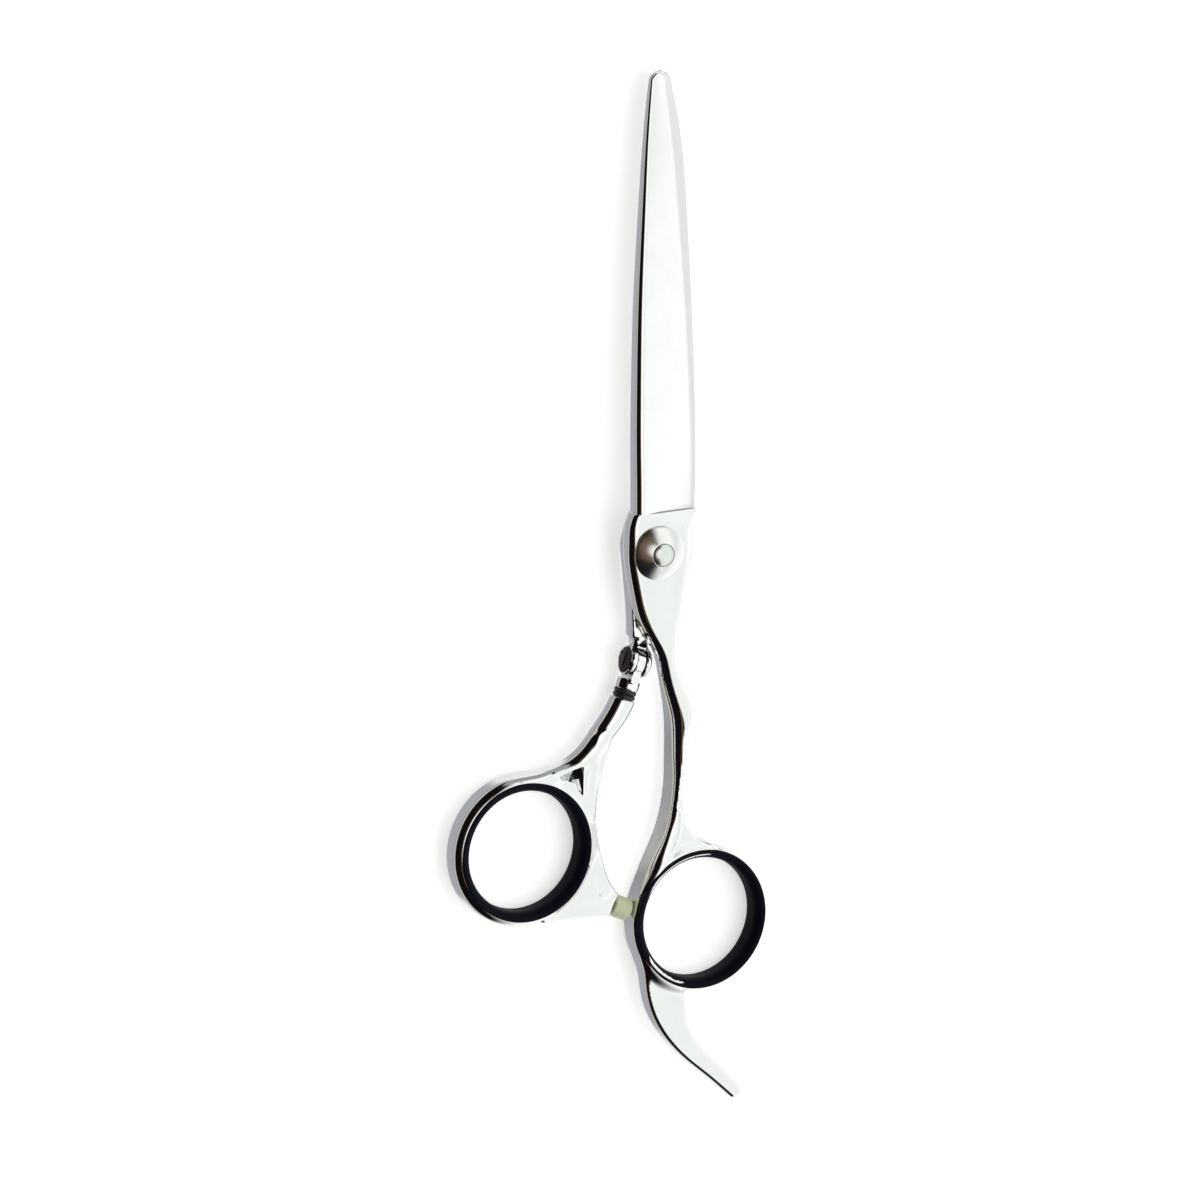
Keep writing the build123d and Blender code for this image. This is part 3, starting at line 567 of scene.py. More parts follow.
def ring_band(x, y, z, centre, outer, crown):
    """A ring without its bore: a broad rounding above and a small one below."""
    reach = np.hypot(x - centre[0], y - centre[1])
    return rounded([rounded([reach - outer, z - RING_HIGH_Z], crown), RING_LOW_Z - z], 0.5)


def ring_bore(x, y, centre):
    """The hole for the insert."""
    return np.hypot(x - centre[0], y - centre[1]) - RING_BORE_R


def finger_handle(x, y, z):
    """Hub, S-shaped shank, ring and tang of the finger half."""
    left, right, low, high, bevel, drop, lean, crown = FINGER_SHANK(y)
    bevel_face = ((x - right) * drop + (z - high + drop) * bevel) / np.hypot(bevel, drop)
    wall_height = high - low
    wall = ((left - x) * wall_height + lean * (z - low)) / np.hypot(wall_height, lean)
    ramp_run = (x - PANEL_CORNER[0]) * PANEL_DOWNHILL[0] + (y - PANEL_CORNER[1]) * PANEL_DOWNHILL[1]
    ramp_face = (z - HUB_TOP_Z + RAMP_SLOPE * ramp_run) / math.hypot(1, RAMP_SLOPE)
    shank = rounded([rounded([wall, z - high], crown), x - right, low - z], 0.22)
    shank = rounded([shank, bevel_face, ramp_face], 0.12)
    shank = rounded([shank, y - HEEL_Y, SHANK_END_Y - y], 0.35)
    ring = ring_band(x, y, z, FINGER_RING_CENTRE, FINGER_RING_R, FINGER_RING_CROWN)
    side, (tang_low, tang_high) = ribbon(x, y, TANG_STATIONS)
    tang = rounded([side, tang_low - z, z - tang_high], 0.60)
    web = flat_plate(x, y, z, FINGER_WEB, FINGER_WEB_Z)
    body = blend(blend(ring, web, 1.6), shank, 0.8)
    body = blend(body, tang, 1.8)
    body = cut(body, ring_bore(x, y, FINGER_RING_CENTRE), 0.1)
    body = cut(body, upright_disc(x, y, z, BUSH_R, BELOW, ABOVE))
    body = cut(body, upright_disc(x, y, z, GLIDE_R + 0.05, BELOW, GLIDE_HIGH_Z))
    return cut(body, upright_disc(x, y, z, SPRING_SEAT_R, SPRING_SEAT_Z, ABOVE))


def handle_box(node):
    """Corners of the part of a half that is behind the plunge line, in millimetres."""
    low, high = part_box(node)
    return low / MM, (high.x / MM, HEEL_Y + 1, high.z / MM)


def make_finger_half():
    """The finger half: ground blade and forged handle in one skin."""
    handle = forged("finger_half_steel", finger_handle, *handle_box("finger_blade"))
    blade = ground_blade("finger_half_blade", FINGER_BLADE_STATIONS, RIDE_Z + RIDE_GAP / 2, 1)
    half = smooth(combined(handle, blade, "UNION"), 24)
    return dress(half, "finger_half", "polished_steel", STEEL, "finger_blade")


# ------------------------------------------------------------------ thumb half
THUMB_SHANK_END_Y = -14.5
# y, left x, right x, low z, high z, width and drop of the right bevel underneath
THUMB_SHANK = along([
    (HEEL_Y + 0.6, -3.10, 7.60, 0.34, 3.20, 1.6, 1.2),
    (4.4, -4.13, 7.18, 0.32, 3.20, 1.6, 1.2),
    (2.5, -4.33, 6.98, 0.32, 3.20, 1.6, 1.2),
    (-1.0, -4.03, 6.78, 0.32, 3.20, 1.6, 1.2),
    (-6.0, -3.43, 5.38, 0.32, 3.20, 1.4, 1.1),
    (-10.5, -2.93, 2.38, 0.32, 3.20, 1.0, 0.9),
    (THUMB_SHANK_END_Y, -2.73, 0.08, 0.30, 3.20, 0.6, 0.6),
])
NECK_LENGTH = 5.2
# distance above the knuckle, width, low z, high z
FORK_NECK = along([
    (0.0, 3.7, 0.15, 4.85),
    (1.2, 3.3, 0.15, 4.38),
    (2.3, 2.9, 0.20, 3.70),
    (3.4, 2.8, 0.25, 3.28),
    (4.3, 2.9, 0.27, 3.14),
    (NECK_LENGTH, 3.0, 0.28, 3.14),
])
# Lower left corner of the hub behind the edge of the thumb blade, cut away by a sloping plane
HEEL_CORNER = (-4.2, 0.5, 0.32)
HEEL_SLOPE_X = -0.80
HEEL_SLOPE_Y = 0.40


def thumb_handle(x, y, z):
    """Hub, short shank and fork of the thumb half."""
    left, right, low, high, bevel, drop = THUMB_SHANK(y)
    slant = np.hypot(bevel, drop)
    bevel_face = ((x - right) * drop + (low + drop - z) * bevel) / slant
    shank = rounded([left - x, x - right, low - z, z - high, y - HEEL_Y, THUMB_SHANK_END_Y - y], 0.35)
    corner_x, corner_y, corner_z = HEEL_CORNER
    heel_z = corner_z + HEEL_SLOPE_X * (x - corner_x) + HEEL_SLOPE_Y * (y - corner_y)
    heel_face = (heel_z - z) / math.hypot(1, HEEL_SLOPE_X, HEEL_SLOPE_Y)
    shank = rounded([shank, bevel_face, heel_face], 0.2)
    down, across = swivel_frame(x, y)
    width, neck_low, neck_high = FORK_NECK(-down)
    neck_faces = [np.abs(across) - width / 2, neck_low - z, z - neck_high, down, -NECK_LENGTH - down]
    neck = rounded(neck_faces, 0.75)
    height = z - RING_MID_Z
    reach = np.hypot(down, height)
    barrel = rounded([reach - KNUCKLE_R, np.abs(across) - KNUCKLE_HALF_LENGTH], 0.4)
    body = blend(blend(neck, barrel, 1.0), shank, 1.2)
    body = np.maximum(body, FORK_LOW_Z - z)
    slot = np.maximum(np.abs(across) - SLOT_HALF, -SLOT_DEPTH - down)
    body = cut(body, slot, 0.1)
    head_seat = rounded([reach - CROSS_HEAD_R, across + KNUCKLE_HALF_LENGTH - HEAD_SEAT_DEPTH], 0.05)
    pin_hole = np.maximum(reach - CROSS_PIN_R - 0.03, across - CROSS_PIN_END)
    body = cut(body, head_seat, 0.1)
    body = cut(body, pin_hole)
    body = cut(body, upright_disc(x, y, z, BOLT_HEAD_R + 0.02, BELOW, BOLT_HEAD_TOP_Z), 0.08)
    body = cut(body, upright_disc(x, y, z, BOLT_NECK_BORE_R, BELOW, BOLT_NECK_TOP_Z), 0.08)
    body = cut(body, upright_disc(x, y, z, BOLT_R + 0.02, BELOW, ABOVE))
    return cut(body, upright_disc(x, y, z, GLIDE_R, GLIDE_LOW_Z, ABOVE))


def make_thumb_half():
    """The thumb half: ground blade, hub and fork in one skin."""
    handle = forged("thumb_half_steel", thumb_handle, *handle_box("thumb_blade"))
    blade = ground_blade("thumb_half_blade", THUMB_BLADE_STATIONS, RIDE_Z - RIDE_GAP / 2, -1)
    half = smooth(combined(handle, blade, "UNION"), 24)
    return dress(half, "thumb_half", "polished_steel", STEEL, "thumb_blade")


# ------------------------------------------------------------------ thumb ring
# x, y, width, low z, high z, rounding
STEM_STATIONS = [
    (-3.80, -23.85, 3.9, 0.40, 4.60, 1.60),
    (-5.60, -27.10, 3.8, 0.40, 4.60, 1.60),
    (-8.05, -30.20, 3.5, 0.40, 4.60, 1.60),
    (-10.40, -33.00, 3.4, 0.40, 4.60, 1.55),
    (-13.50, -35.00, 3.2, 0.45, 4.60, 1.45),
    (-17.50, -35.95, 2.7, 0.50, 4.60, 1.25),
    (-22.00, -36.60, 1.4, 0.80, 4.20, 0.70),
]
# x, y, width, low z, high z
RAIL_STATIONS = [
    (-8.10, -30.20, 2.8, 0.70, 4.50),
    (-9.30, -35.00, 2.6, 0.75, 4.40),
    (-10.10, -40.00, 2.3, 0.80, 4.25),
    (-9.90, -45.50, 2.1, 0.90, 4.10),
    (-8.90, -50.00, 2.1, 0.95, 4.05),
    (-7.30, -55.60, 2.4, 0.95, 4.05),
]
FOOT_WEB = [(-9.0, -33.0), (-17.0, -35.0), (-12.0, -42.0), (-9.8, -44.0)]
FOOT_WEB_Z = (1.0, 4.4)
ARM_Z = (0.95, 4.0)
# Sunken triangle between stem, rail and ring. Its floor rises to WEDGE_TOP_Z at its right side.
WEDGE = [(-16.0, -35.7), (-14.2, -35.0), (-11.9, -34.4), (-10.9, -42.2),
         (-11.8, -39.4), (-13.4, -36.9), (-15.9, -36.1)]
WEDGE_TOP_Z = 4.5
WEDGE_RIGHT_X = -11.6
WEDGE_FLOOR_Z = 1.4


def arm_outline():
    """Plan of the flat arm between the ring and the bumper's seat."""
    half_x, half_y = -math.sin(BUMPER_TURN) * BUMPER_R, math.cos(BUMPER_TURN) * BUMPER_R
    top = (BUMPER_SEAT[0] + half_x, BUMPER_SEAT[1] + half_y)
    low = (BUMPER_SEAT[0] - half_x, BUMPER_SEAT[1] - half_y)
    upper = path_through([(-9.6, -44.0), (-8.9, -48.6), (-8.2, -51.0), top], 12)
    lower = path_through([low, (-10.5, -59.6), (-18.3, -59.8)], 8)
    return [*map(tuple, upper), *map(tuple, lower), (-14.0, -48.0)]


ARM = arm_outline()


def thumb_loop(x, y, z):
    """Ring, stem and bumper arm in one piece."""
    ring = ring_band(x, y, z, THUMB_RING_CENTRE, THUMB_RING_R, THUMB_RING_CROWN)
    down, across = swivel_frame(x, y)
    side, (low, high, rounding) = ribbon(x, y, STEM_STATIONS)
    stem = rounded([side, low - z, z - high], rounding)
    side, (low, high) = ribbon(x, y, RAIL_STATIONS)
    rail = rounded([side, low - z, z - high], 0.5)
    foot = flat_plate(x, y, z, FOOT_WEB, FOOT_WEB_Z)
    arm = flat_plate(x, y, z, ARM, ARM_Z)
    body = blend(stem, rail, 0.5)
    body = blend(body, ring, 1.1)
    body = blend(body, arm, 0.4)
    body = blend(body, foot, 0.4)
    body = cut(body, ring_bore(x, y, THUMB_RING_CENTRE), 0.1)
    floor = (WEDGE_TOP_Z + x - WEDGE_RIGHT_X - z) / math.sqrt(2)
    wedge = rounded([plan_distance(x, y, WEDGE), floor, WEDGE_FLOOR_Z - z], 0.1)
    body = cut(body, wedge, 0.12)
    body = rounded([body, STEM_FACE - down], 0.2)
    height = z - RING_MID_Z
    post_hole = np.maximum(np.hypot(across, height) - POST_BORE_R, down - POST_END - 0.2)
    return cut(body, post_hole)


def make_thumb_ring():
    """The thumb ring's steel."""
    low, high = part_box("thumb_ring")
    ring = forged("thumb_ring_steel", thumb_loop, low / MM, high / MM)
    return dress(ring, "thumb_ring", "polished_steel", STEEL, "thumb_ring")


# ------------------------------------------------------------------ turned pieces
def upright(centre=(0, 0)):
    """Place on a vertical axis."""
    return Matrix.Translation((centre[0], centre[1], 0))


def axis_place(origin, run):
    """Place whose +Z runs along a level direction."""
    z = Vector(run).normalized()
    x = Vector((0, 0, 1))
    y = z.cross(x)
    return Matrix.Translation(origin) @ Matrix((x, y, z)).transposed().to_4x4()


def down_swivel(distance):
    """Place on the swivel axis."""
    run = Vector((-math.sin(SWIVEL_LEAN), -math.cos(SWIVEL_LEAN), 0))
    return axis_place(Vector((*KNUCKLE, RING_MID_Z)) + run * distance, run)


def along_cross():
    """Place on the cross screw's axis, towards the finger half."""
    return axis_place(Vector((*KNUCKLE, RING_MID_Z)), (math.cos(SWIVEL_LEAN), -math.sin(SWIVEL_LEAN), 0))


def arc(start, end, bulge, count):
    """(radius, height) points of a shallow arc between two points, without its start."""
    (r0, h0), (r1, h1) = start, end
    run, rise = r1 - r0, h1 - h0
    length = math.hypot(run, rise)
    points = []
    for t in np.linspace(0, 1, count)[1:]:
        swell = bulge * 4 * t * (1 - t)
        points.append((r0 + run * t + rise / length * swell, h0 + rise * t - run / length * swell))
    return points


def make_tension_dial():
    """Low domed dial with a short straight rim."""
    profile = [(DIAL_TOP[0], 7.45), (1.64, 7.45), (1.64, 6.62), (3.50, 6.62), (3.50, 6.38), (4.25, 6.38)]
    profile += [(DIAL_R, 6.46), (DIAL_R, 6.62), DIAL_RIM]
    profile += arc(DIAL_RIM, DIAL_TOP, DIAL_DOME, 22)
    dial = lathe("tension_dial_chrome", profile, upright(), softness=0.04)
    return dress(dial, "dial", "bright_steel", DIAL_STEEL, "tension_dial")


def make_dial_cap():
    """Domed cap with a shallow hollow in its middle."""
    edge = (CAP_R, DIAL_TOP[1])
    profile = [(0, 6.25), (THREAD_BORE_R, 6.25), (THREAD_BORE_R, THREAD_TOP_Z), (CAP_R, THREAD_TOP_Z), edge]
    profile += arc(edge, CAP_CROWN, 0.10, 12)
    profile += arc(CAP_CROWN, (0, CAP_HOLLOW_Z), -0.01, 6)
    cap = lathe("dial_cap_chrome", profile, upright(), softness=0.04)
    return dress(cap, "thumb_half", "bright_steel", CAP_STEEL, "dial_cap_screw")


def make_insert(name, body, centre, node):
    """Soft ring insert with rolled lips."""
    low = RING_LOW_Z + LIP_SEAT_DEPTH - LIP_THICKNESS
    high = RING_HIGH_Z - LIP_SEAT_DEPTH + LIP_THICKNESS
    roll_width = LIP_R - INSERT_HOLE_R - LIP_ROUNDING
    upper = [
        (INSERT_HOLE_R + roll_width * (1 - math.cos(turn)), high - LIP_ROLL_HEIGHT * (1 - math.sin(turn)))
        for turn in np.linspace(0, math.pi / 2, 14)
    ]
    upper += [
        (LIP_R - LIP_ROUNDING * (1 - math.sin(turn)), high - LIP_ROUNDING * (1 - math.cos(turn)))
        for turn in np.linspace(0.2, math.pi / 2, 5)
    ]
    upper += [(LIP_R, high - LIP_THICKNESS), (RING_BORE_R, high - LIP_THICKNESS)]
    lower = [(r, low + high - h) for r, h in reversed(upper)]
    insert = lathe(name, upper + lower, upright(centre), segments=160, softness=0)
    return dress(insert, body, "black_rubber", RUBBER, node)


def make_bumper():
    """Soft stop with a rounded nose, on its stud."""
    run = (math.cos(BUMPER_TURN), math.sin(BUMPER_TURN), 0)
    place = axis_place(Vector((*BUMPER_SEAT, RING_MID_Z)), run)
    straight = BUMPER_LENGTH - BUMPER_DOME
    profile = [(0, BUMPER_HOLE_DEPTH), (BUMPER_HOLE_R, BUMPER_HOLE_DEPTH), (BUMPER_HOLE_R, 0.0)]
    profile += [(1.70, 0.0), (1.88, 0.25), (1.86, 0.9), (BUMPER_NOSE_R, straight)]
    nose = [
        (BUMPER_NOSE_R * math.cos(turn), straight + BUMPER_DOME * math.sin(turn))
        for turn in np.linspace(0.12, math.pi / 2, 14)
    ]
    bumper = lathe("bumper_silicone", profile + nose, place, segments=64, softness=0.06)
    return dress(bumper, "thumb_ring", "green_silicone", SILICONE, "bumper")


def make_cross_screw():
    """Flat-headed, slotted screw in the fork."""
    head = -KNUCKLE_HALF_LENGTH - CROSS_HEAD_PROUD
    rim = CROSS_HEAD_R - 0.03
    profile = [(0, CROSS_PIN_END), (CROSS_PIN_R, CROSS_PIN_END)]
    profile += [(CROSS_PIN_R, head + CROSS_HEAD_THICKNESS), (rim, head + CROSS_HEAD_THICKNESS)]
    profile += [(rim, head + CROSS_HEAD_BEVEL)]
    profile += arc((rim, head + CROSS_HEAD_BEVEL), (0, head), -0.01, 8)
    screw = lathe("swivel_cross_screw_steel", profile, along_cross(), segments=72, softness=0.05)
    bar = lathe("slot_cutter", [(0, -0.22), (2.5, -0.22), (2.5, 0.22), (0, 0.22)], segments=32, softness=0)
    lay = along_cross() @ Matrix.Translation((0, 0, head - 0.05)) @ Matrix.Rotation(math.pi / 2, 4, "Y")
    lay.translation = lay.translation * MM
    bar.data.transform(Matrix.Scale(0.10, 4, (1, 0, 0)))
    bar.data.transform(lay)
    smooth(combined(screw, bar, "DIFFERENCE"), 30)
    return dress(screw, "thumb_half", "blackened_steel", BLACKENED, "swivel_cross_screw")


def make_swivel_link():
    """Tongue, round shoulder and grooved post of the link."""
    def link(x, y, z):
        down, across = swivel_frame(x, y)
        height = z - RING_MID_Z
        tongue = rounded([np.hypot(down, height) - TONGUE_R, np.abs(across) - TONGUE_HALF], 0.12)
        neck_faces = [np.abs(height) - LINK_NECK_HALF_HEIGHT, np.abs(across) - LINK_NECK_HALF_WIDTH]
        neck = rounded([*neck_faces, -down, down - LINK_NECK_END], 0.12)
        reach = np.hypot(across, height)
        shoulder = rounded([reach - SHOULDER_R, LINK_SHOULDER - down, down - LINK_FACE], 0.35)
        post = rounded([reach - POST_R, LINK_FACE - 0.5 - down, down - POST_END], 0.1)
        groove = np.maximum(GROOVE_R - reach, np.abs(down - GROOVE_MIDDLE) - GROOVE_HALF)
        body = blend(blend(np.minimum(tongue, neck), shoulder, 0.35), cut(post, groove), 0.01)
        return cut(body, np.hypot(down, height) - TONGUE_BORE_R)

    low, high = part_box("swivel_link")
    piece = forged("swivel_link_steel", link, low / MM, high / MM, 0.12)
    return dress(piece, "swivel_link", "bright_steel", CHROME, "swivel_link")


def make_collar():
    """Two dark washers at the collar, each with a rolled edge."""
    pitch = (STEM_FACE - LINK_FACE) / 2
    roll_r, roll_h = COLLAR_ROLL
    lower = [(COLLAR_BORE_R, 0), (COLLAR_R - roll_r, 0), (COLLAR_R, roll_h)]
    profile = lower + [(r, COLLAR_THICKNESS - h) for r, h in reversed(lower)]
    for index in range(2):
        place = down_swivel(LINK_FACE + index * pitch)
        washer = lathe(f"collar_washer_{index + 1}", profile, place, segments=72, softness=0.05)
        dress(washer, "swivel_link", "dark_nylon", NYLON, "collar_washers")


def make_pivot_bolt():
    """Flat bolt head underneath, with its two spanner holes."""
    profile = [(0, 0), (BOLT_HEAD_R - 0.20, 0), (BOLT_HEAD_R, 0.18), (BOLT_HEAD_R, BOLT_HEAD_TOP_Z)]
    profile += [(BOLT_NECK_R, BOLT_HEAD_TOP_Z), (BOLT_NECK_R, BOLT_NECK_TOP_Z), (BOLT_R, BOLT_NECK_TOP_Z)]
    profile += [(BOLT_R, BOLT_TOP_Z), (THREAD_R, BOLT_TOP_Z), (THREAD_R, THREAD_TOP_Z)]
    profile += [(THREAD_BORE_R, THREAD_TOP_Z), (THREAD_BORE_R, BOLT_TOP_Z), (0, BOLT_TOP_Z)]
    bolt = lathe("pivot_bolt_steel", profile, upright(), segments=96, softness=0.04)
    hole = [(0, BELOW), (SPANNER_HOLE_R, BELOW)]
    hole += [(SPANNER_HOLE_R, SPANNER_HOLE_DEPTH), (0, SPANNER_HOLE_DEPTH)]
    for sign in (-1, 1):
        place = upright((sign * SPANNER_HOLE_OFFSET, 0))
        combined(bolt, lathe("spanner_hole", hole, place, 32, 0), "DIFFERENCE")
    return dress(smooth(bolt, 30), "thumb_half", "bright_steel", CHROME, "pivot_bolt")


# ------------------------------------------------------------------ materials
def new_material(name):
    """Empty node material with its shader."""
    material = bpy.data.materials.new(name)
    material.use_nodes = True
    return material, material.node_tree, material.node_tree.nodes["Principled BSDF"]


def texture_noise(tree, scale, detail=4.0, stretch=(1, 1, 1)):
    """Noise in the object's own space, stretched along its axes."""
    coordinates = tree.nodes.new("ShaderNodeTexCoord")
    mapping = tree.nodes.new("ShaderNodeMapping")
    mapping.inputs["Scale"].default_value = stretch
    noise = tree.nodes.new("ShaderNodeTexNoise")
    noise.inputs["Scale"].default_value = scale
    noise.inputs["Detail"].default_value = detail
    tree.links.new(coordinates.outputs["Object"], mapping.inputs["Vector"])
    tree.links.new(mapping.outputs["Vector"], noise.inputs["Vector"])
    return noise.outputs["Fac"]


def spread(tree, value, low, high):
    """Value from 0 to 1 spread between low and high."""
    node = tree.nodes.new("ShaderNodeMapRange")
    node.inputs["To Min"].default_value = low
    node.inputs["To Max"].default_value = high
    tree.links.new(value, node.inputs["Value"])
    return node.outputs["Result"]


def mixed(tree, value, a, b):
    """Colour between a and b, each a socket or a fixed colour."""
    node = tree.nodes.new("ShaderNodeMix")
    node.data_type = "RGBA"
    for name, colour in (("A", a), ("B", b)):
        if isinstance(colour, tuple):
            node.inputs[name].default_value = (*colour, 1)
        else:
            tree.links.new(colour, node.inputs[name])
    tree.links.new(value, node.inputs["Factor"])
    return node.outputs["Result"]


def add_bump(tree, shader, height, strength, distance):
    """Bump on the shader's normal."""
    bump = tree.nodes.new("ShaderNodeBump")
    bump.inputs["Strength"].default_value = strength
    bump.inputs["Distance"].default_value = distance
    tree.links.new(height, bump.inputs["Height"])
    tree.links.new(bump.outputs["Normal"], shader.inputs["Normal"])


def metal(name, dark, light, smoothness, streak, bump_strength):
    """Metal with fine polishing lines, cloudy roughness and a slight change of tone."""
    material, tree, shader = new_material(name)
    shader.inputs["Metallic"].default_value = 1.0
    clouds = texture_noise(tree, 220, 3)
    lines = texture_noise(tree, 900, 5, streak)
    tree.links.new(mixed(tree, clouds, dark, light), shader.inputs["Base Color"])
    tree.links.new(spread(tree, lines, *smoothness), shader.inputs["Roughness"])
    add_bump(tree, shader, lines, bump_strength, 0.00001)
    return material


def make_rubber():
    """Soft black rubber with a fine moulded grain."""
    material, tree, shader = new_material("black rubber")
    grain = texture_noise(tree, 2600, 4)
    clouds = texture_noise(tree, 160, 3)
    black = mixed(tree, clouds, (0.003, 0.003, 0.008), (0.008, 0.008, 0.018))
    tree.links.new(black, shader.inputs["Base Color"])
    tree.links.new(spread(tree, clouds, 0.46, 0.64), shader.inputs["Roughness"])
    shader.inputs["Specular IOR Level"].default_value = 0.06
    add_bump(tree, shader, grain, 0.25, 0.00003)
    return material


def make_silicone():
    """Translucent yellow-green silicone."""
    material, tree, shader = new_material("green silicone")
    clouds = texture_noise(tree, 600, 3)
    green = mixed(tree, clouds, (0.66, 0.74, 0.42), (0.88, 0.93, 0.70))
    tree.links.new(green, shader.inputs["Base Color"])
    tree.links.new(spread(tree, clouds, 0.08, 0.16), shader.inputs["Roughness"])
    shader.inputs["Subsurface Weight"].default_value = 0.35
    shader.inputs["Subsurface Scale"].default_value = 0.002
    shader.inputs["Transmission Weight"].default_value = 0.10
    shader.inputs["IOR"].default_value = 1.41
    add_bump(tree, shader, clouds, 0.1, 0.00003)
    return material


def make_nylon():
    """Dark moulded nylon."""
    material, tree, shader = new_material("dark nylon")
    grain = texture_noise(tree, 1800, 4)
    dark = mixed(tree, grain, (0.010, 0.010, 0.011), (0.030, 0.030, 0.033))
    tree.links.new(dark, shader.inputs["Base Color"])
    tree.links.new(spread(tree, grain, 0.35, 0.5), shader.inputs["Roughness"])
    add_bump(tree, shader, grain, 0.2, 0.00002)
    return material


STEEL = metal(
    "polished steel", dark=(0.80, 0.81, 0.80), light=(0.90, 0.91, 0.90),
    smoothness=(0.05, 0.11), streak=(6, 1, 6), bump_strength=0.05,
)
CHROME = metal(
    "bright steel", dark=(0.84, 0.84, 0.83), light=(0.92, 0.92, 0.91),
    smoothness=(0.03, 0.08), streak=(1, 1, 1), bump_strength=0.03,
)
DIAL_STEEL = metal(
    "satin dial steel", dark=(0.80, 0.81, 0.79), light=(0.89, 0.90, 0.88),
    smoothness=(0.17, 0.24), streak=(1, 1, 1), bump_strength=0.05,
)
CAP_STEEL = metal(
    "satin cap steel", dark=(0.66, 0.71, 0.66), light=(0.78, 0.82, 0.77),
    smoothness=(0.20, 0.28), streak=(1, 1, 1), bump_strength=0.05,
)
SPRING = metal(
    "spring steel", dark=(0.50, 0.50, 0.48), light=(0.64, 0.64, 0.62),
    smoothness=(0.22, 0.36), streak=(1, 8, 1), bump_strength=0.15,
)
BRONZE = metal(
    "bearing bronze", dark=(0.60, 0.38, 0.16), light=(0.76, 0.54, 0.28),
    smoothness=(0.24, 0.38), streak=(1, 1, 6), bump_strength=0.15,
)
BLACKENED = metal(
    "blackened steel", dark=(0.020, 0.014, 0.016), light=(0.040, 0.028, 0.030),
    smoothness=(0.24, 0.36), streak=(1, 1, 4), bump_strength=0.1,
)
RUBBER = make_rubber()
SILICONE = make_silicone()
NYLON = make_nylon()
SLOT_MATERIALS = {
    "polished_steel": STEEL, "bright_steel": CHROME, "spring_steel": SPRING, "bronze": BRONZE,
    "blackened_steel": BLACKENED, "dark_nylon": NYLON, "green_silicone": SILICONE, "black_rubber": RUBBER,
}


def dress(piece, body, slot, material, *nodes):
    """Gives a new piece its material and its body, and hides the nodes it stands for. The slot is not used.
    """
    piece.data.materials.clear()
    piece.data.materials.append(material)
    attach(piece, body)
    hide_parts(*nodes)
    return piece


def dress_kept_nodes():
    """Materials of the CAD nodes that stay as they are."""
    for subpart in frame["record"]["subparts"]:
        node = frame["nodes"].get(subpart["node"])
        if node is None:
            continue
        for slot in node.material_slots:
            slot.material = SLOT_MATERIALS[subpart["material_slot"]]


# ------------------------------------------------------------------ stage
CAMERA_BACK = Vector((-0.436, 0.245, 0.866))   # from the aim point towards the camera
CAMERA_UP = Vector((0.093, 0.969, -0.227))
AIM = Vector((-9.50, -7.13, 4.23)) * MM
VIEW_WIDTH = 190.8 * MM
LENS = 800.0
SENSOR = 36.0


def make_camera():
    """Long lens from the upper left of the shears, turned so that the blades point up."""
    back = CAMERA_BACK.normalized()
    right = CAMERA_UP.cross(back).normalized()
    data = bpy.data.cameras.new("camera")
    data.lens = LENS
    data.sensor_width = SENSOR
    data.clip_start = 0.05
    data.clip_end = 20
    camera = bpy.data.objects.new("camera", data)
    bpy.context.scene.collection.objects.link(camera)
    turn = Matrix((right, back.cross(right), back)).transposed().to_4x4()
    camera.matrix_world = Matrix.Translation(AIM + back * VIEW_WIDTH * LENS / SENSOR) @ turn
    bpy.context.scene.camera = camera


FLOOR_R = 3.0
FLOOR_Z = -0.00005             # just under the lowest piece, so that they share no plane


def make_floor():
    """Pale floor under the shears. Reflections see the studio instead of the floor."""
    bm = bmesh.new()
    bmesh.ops.create_circle(bm, cap_ends=True, segments=96, radius=FLOOR_R)
    mesh = bpy.data.meshes.new("floor")
    bm.to_mesh(mesh)
    bm.free()
    floor = bpy.data.objects.new("floor", mesh)
    bpy.context.scene.collection.objects.link(floor)
    floor.location.z = FLOOR_Z
    material, tree, shader = new_material("pale floor")
    clouds = texture_noise(tree, 3, 3)
    tree.links.new(mixed(tree, clouds, (0.90, 0.90, 0.90), (0.93, 0.93, 0.93)), shader.inputs["Base Color"])
    shader.inputs["Roughness"].default_value = 0.9
    shader.inputs["Specular IOR Level"].default_value = 0.1
    shader.inputs["Emission Color"].default_value = (1, 1, 1, 1)
    shader.inputs["Emission Strength"].default_value = 0.60
    mesh.materials.append(material)
    floor.visible_glossy = False


def set_ramp(ramp, stops):
    """Colour stops of (degrees above the horizon, colour), on a ramp over the sine of the angle."""
    while len(ramp.elements) > 1:
        ramp.elements.remove(ramp.elements[-1])
    for i, (degrees, colour) in enumerate(stops):
        place = (math.sin(math.radians(degrees)) + 1) / 2
        element = ramp.elements[0] if i == 0 else ramp.elements.new(place)
        element.position = place
        element.color = (*colour, 1)


def vector_maths(tree, operation, a, b=None):
    """Result of a vector sum: a is a socket, b a fixed vector."""
    node = tree.nodes.new("ShaderNodeVectorMath")
    node.operation = operation
    tree.links.new(a, node.inputs[0])
    if b is not None:
        node.inputs[1].default_value = b
    return node.outputs["Value" if operation == "DOT_PRODUCT" else "Vector"]


def soft_step(tree, value, low, high):
    """Rises smoothly from 0 at low to 1 at high."""
    node = tree.nodes.new("ShaderNodeMapRange")
    node.interpolation_type = "SMOOTHSTEP"
    node.inputs["From Min"].default_value = low
    node.inputs["From Max"].default_value = high
    tree.links.new(value, node.inputs["Value"])
    return node.outputs["Result"]


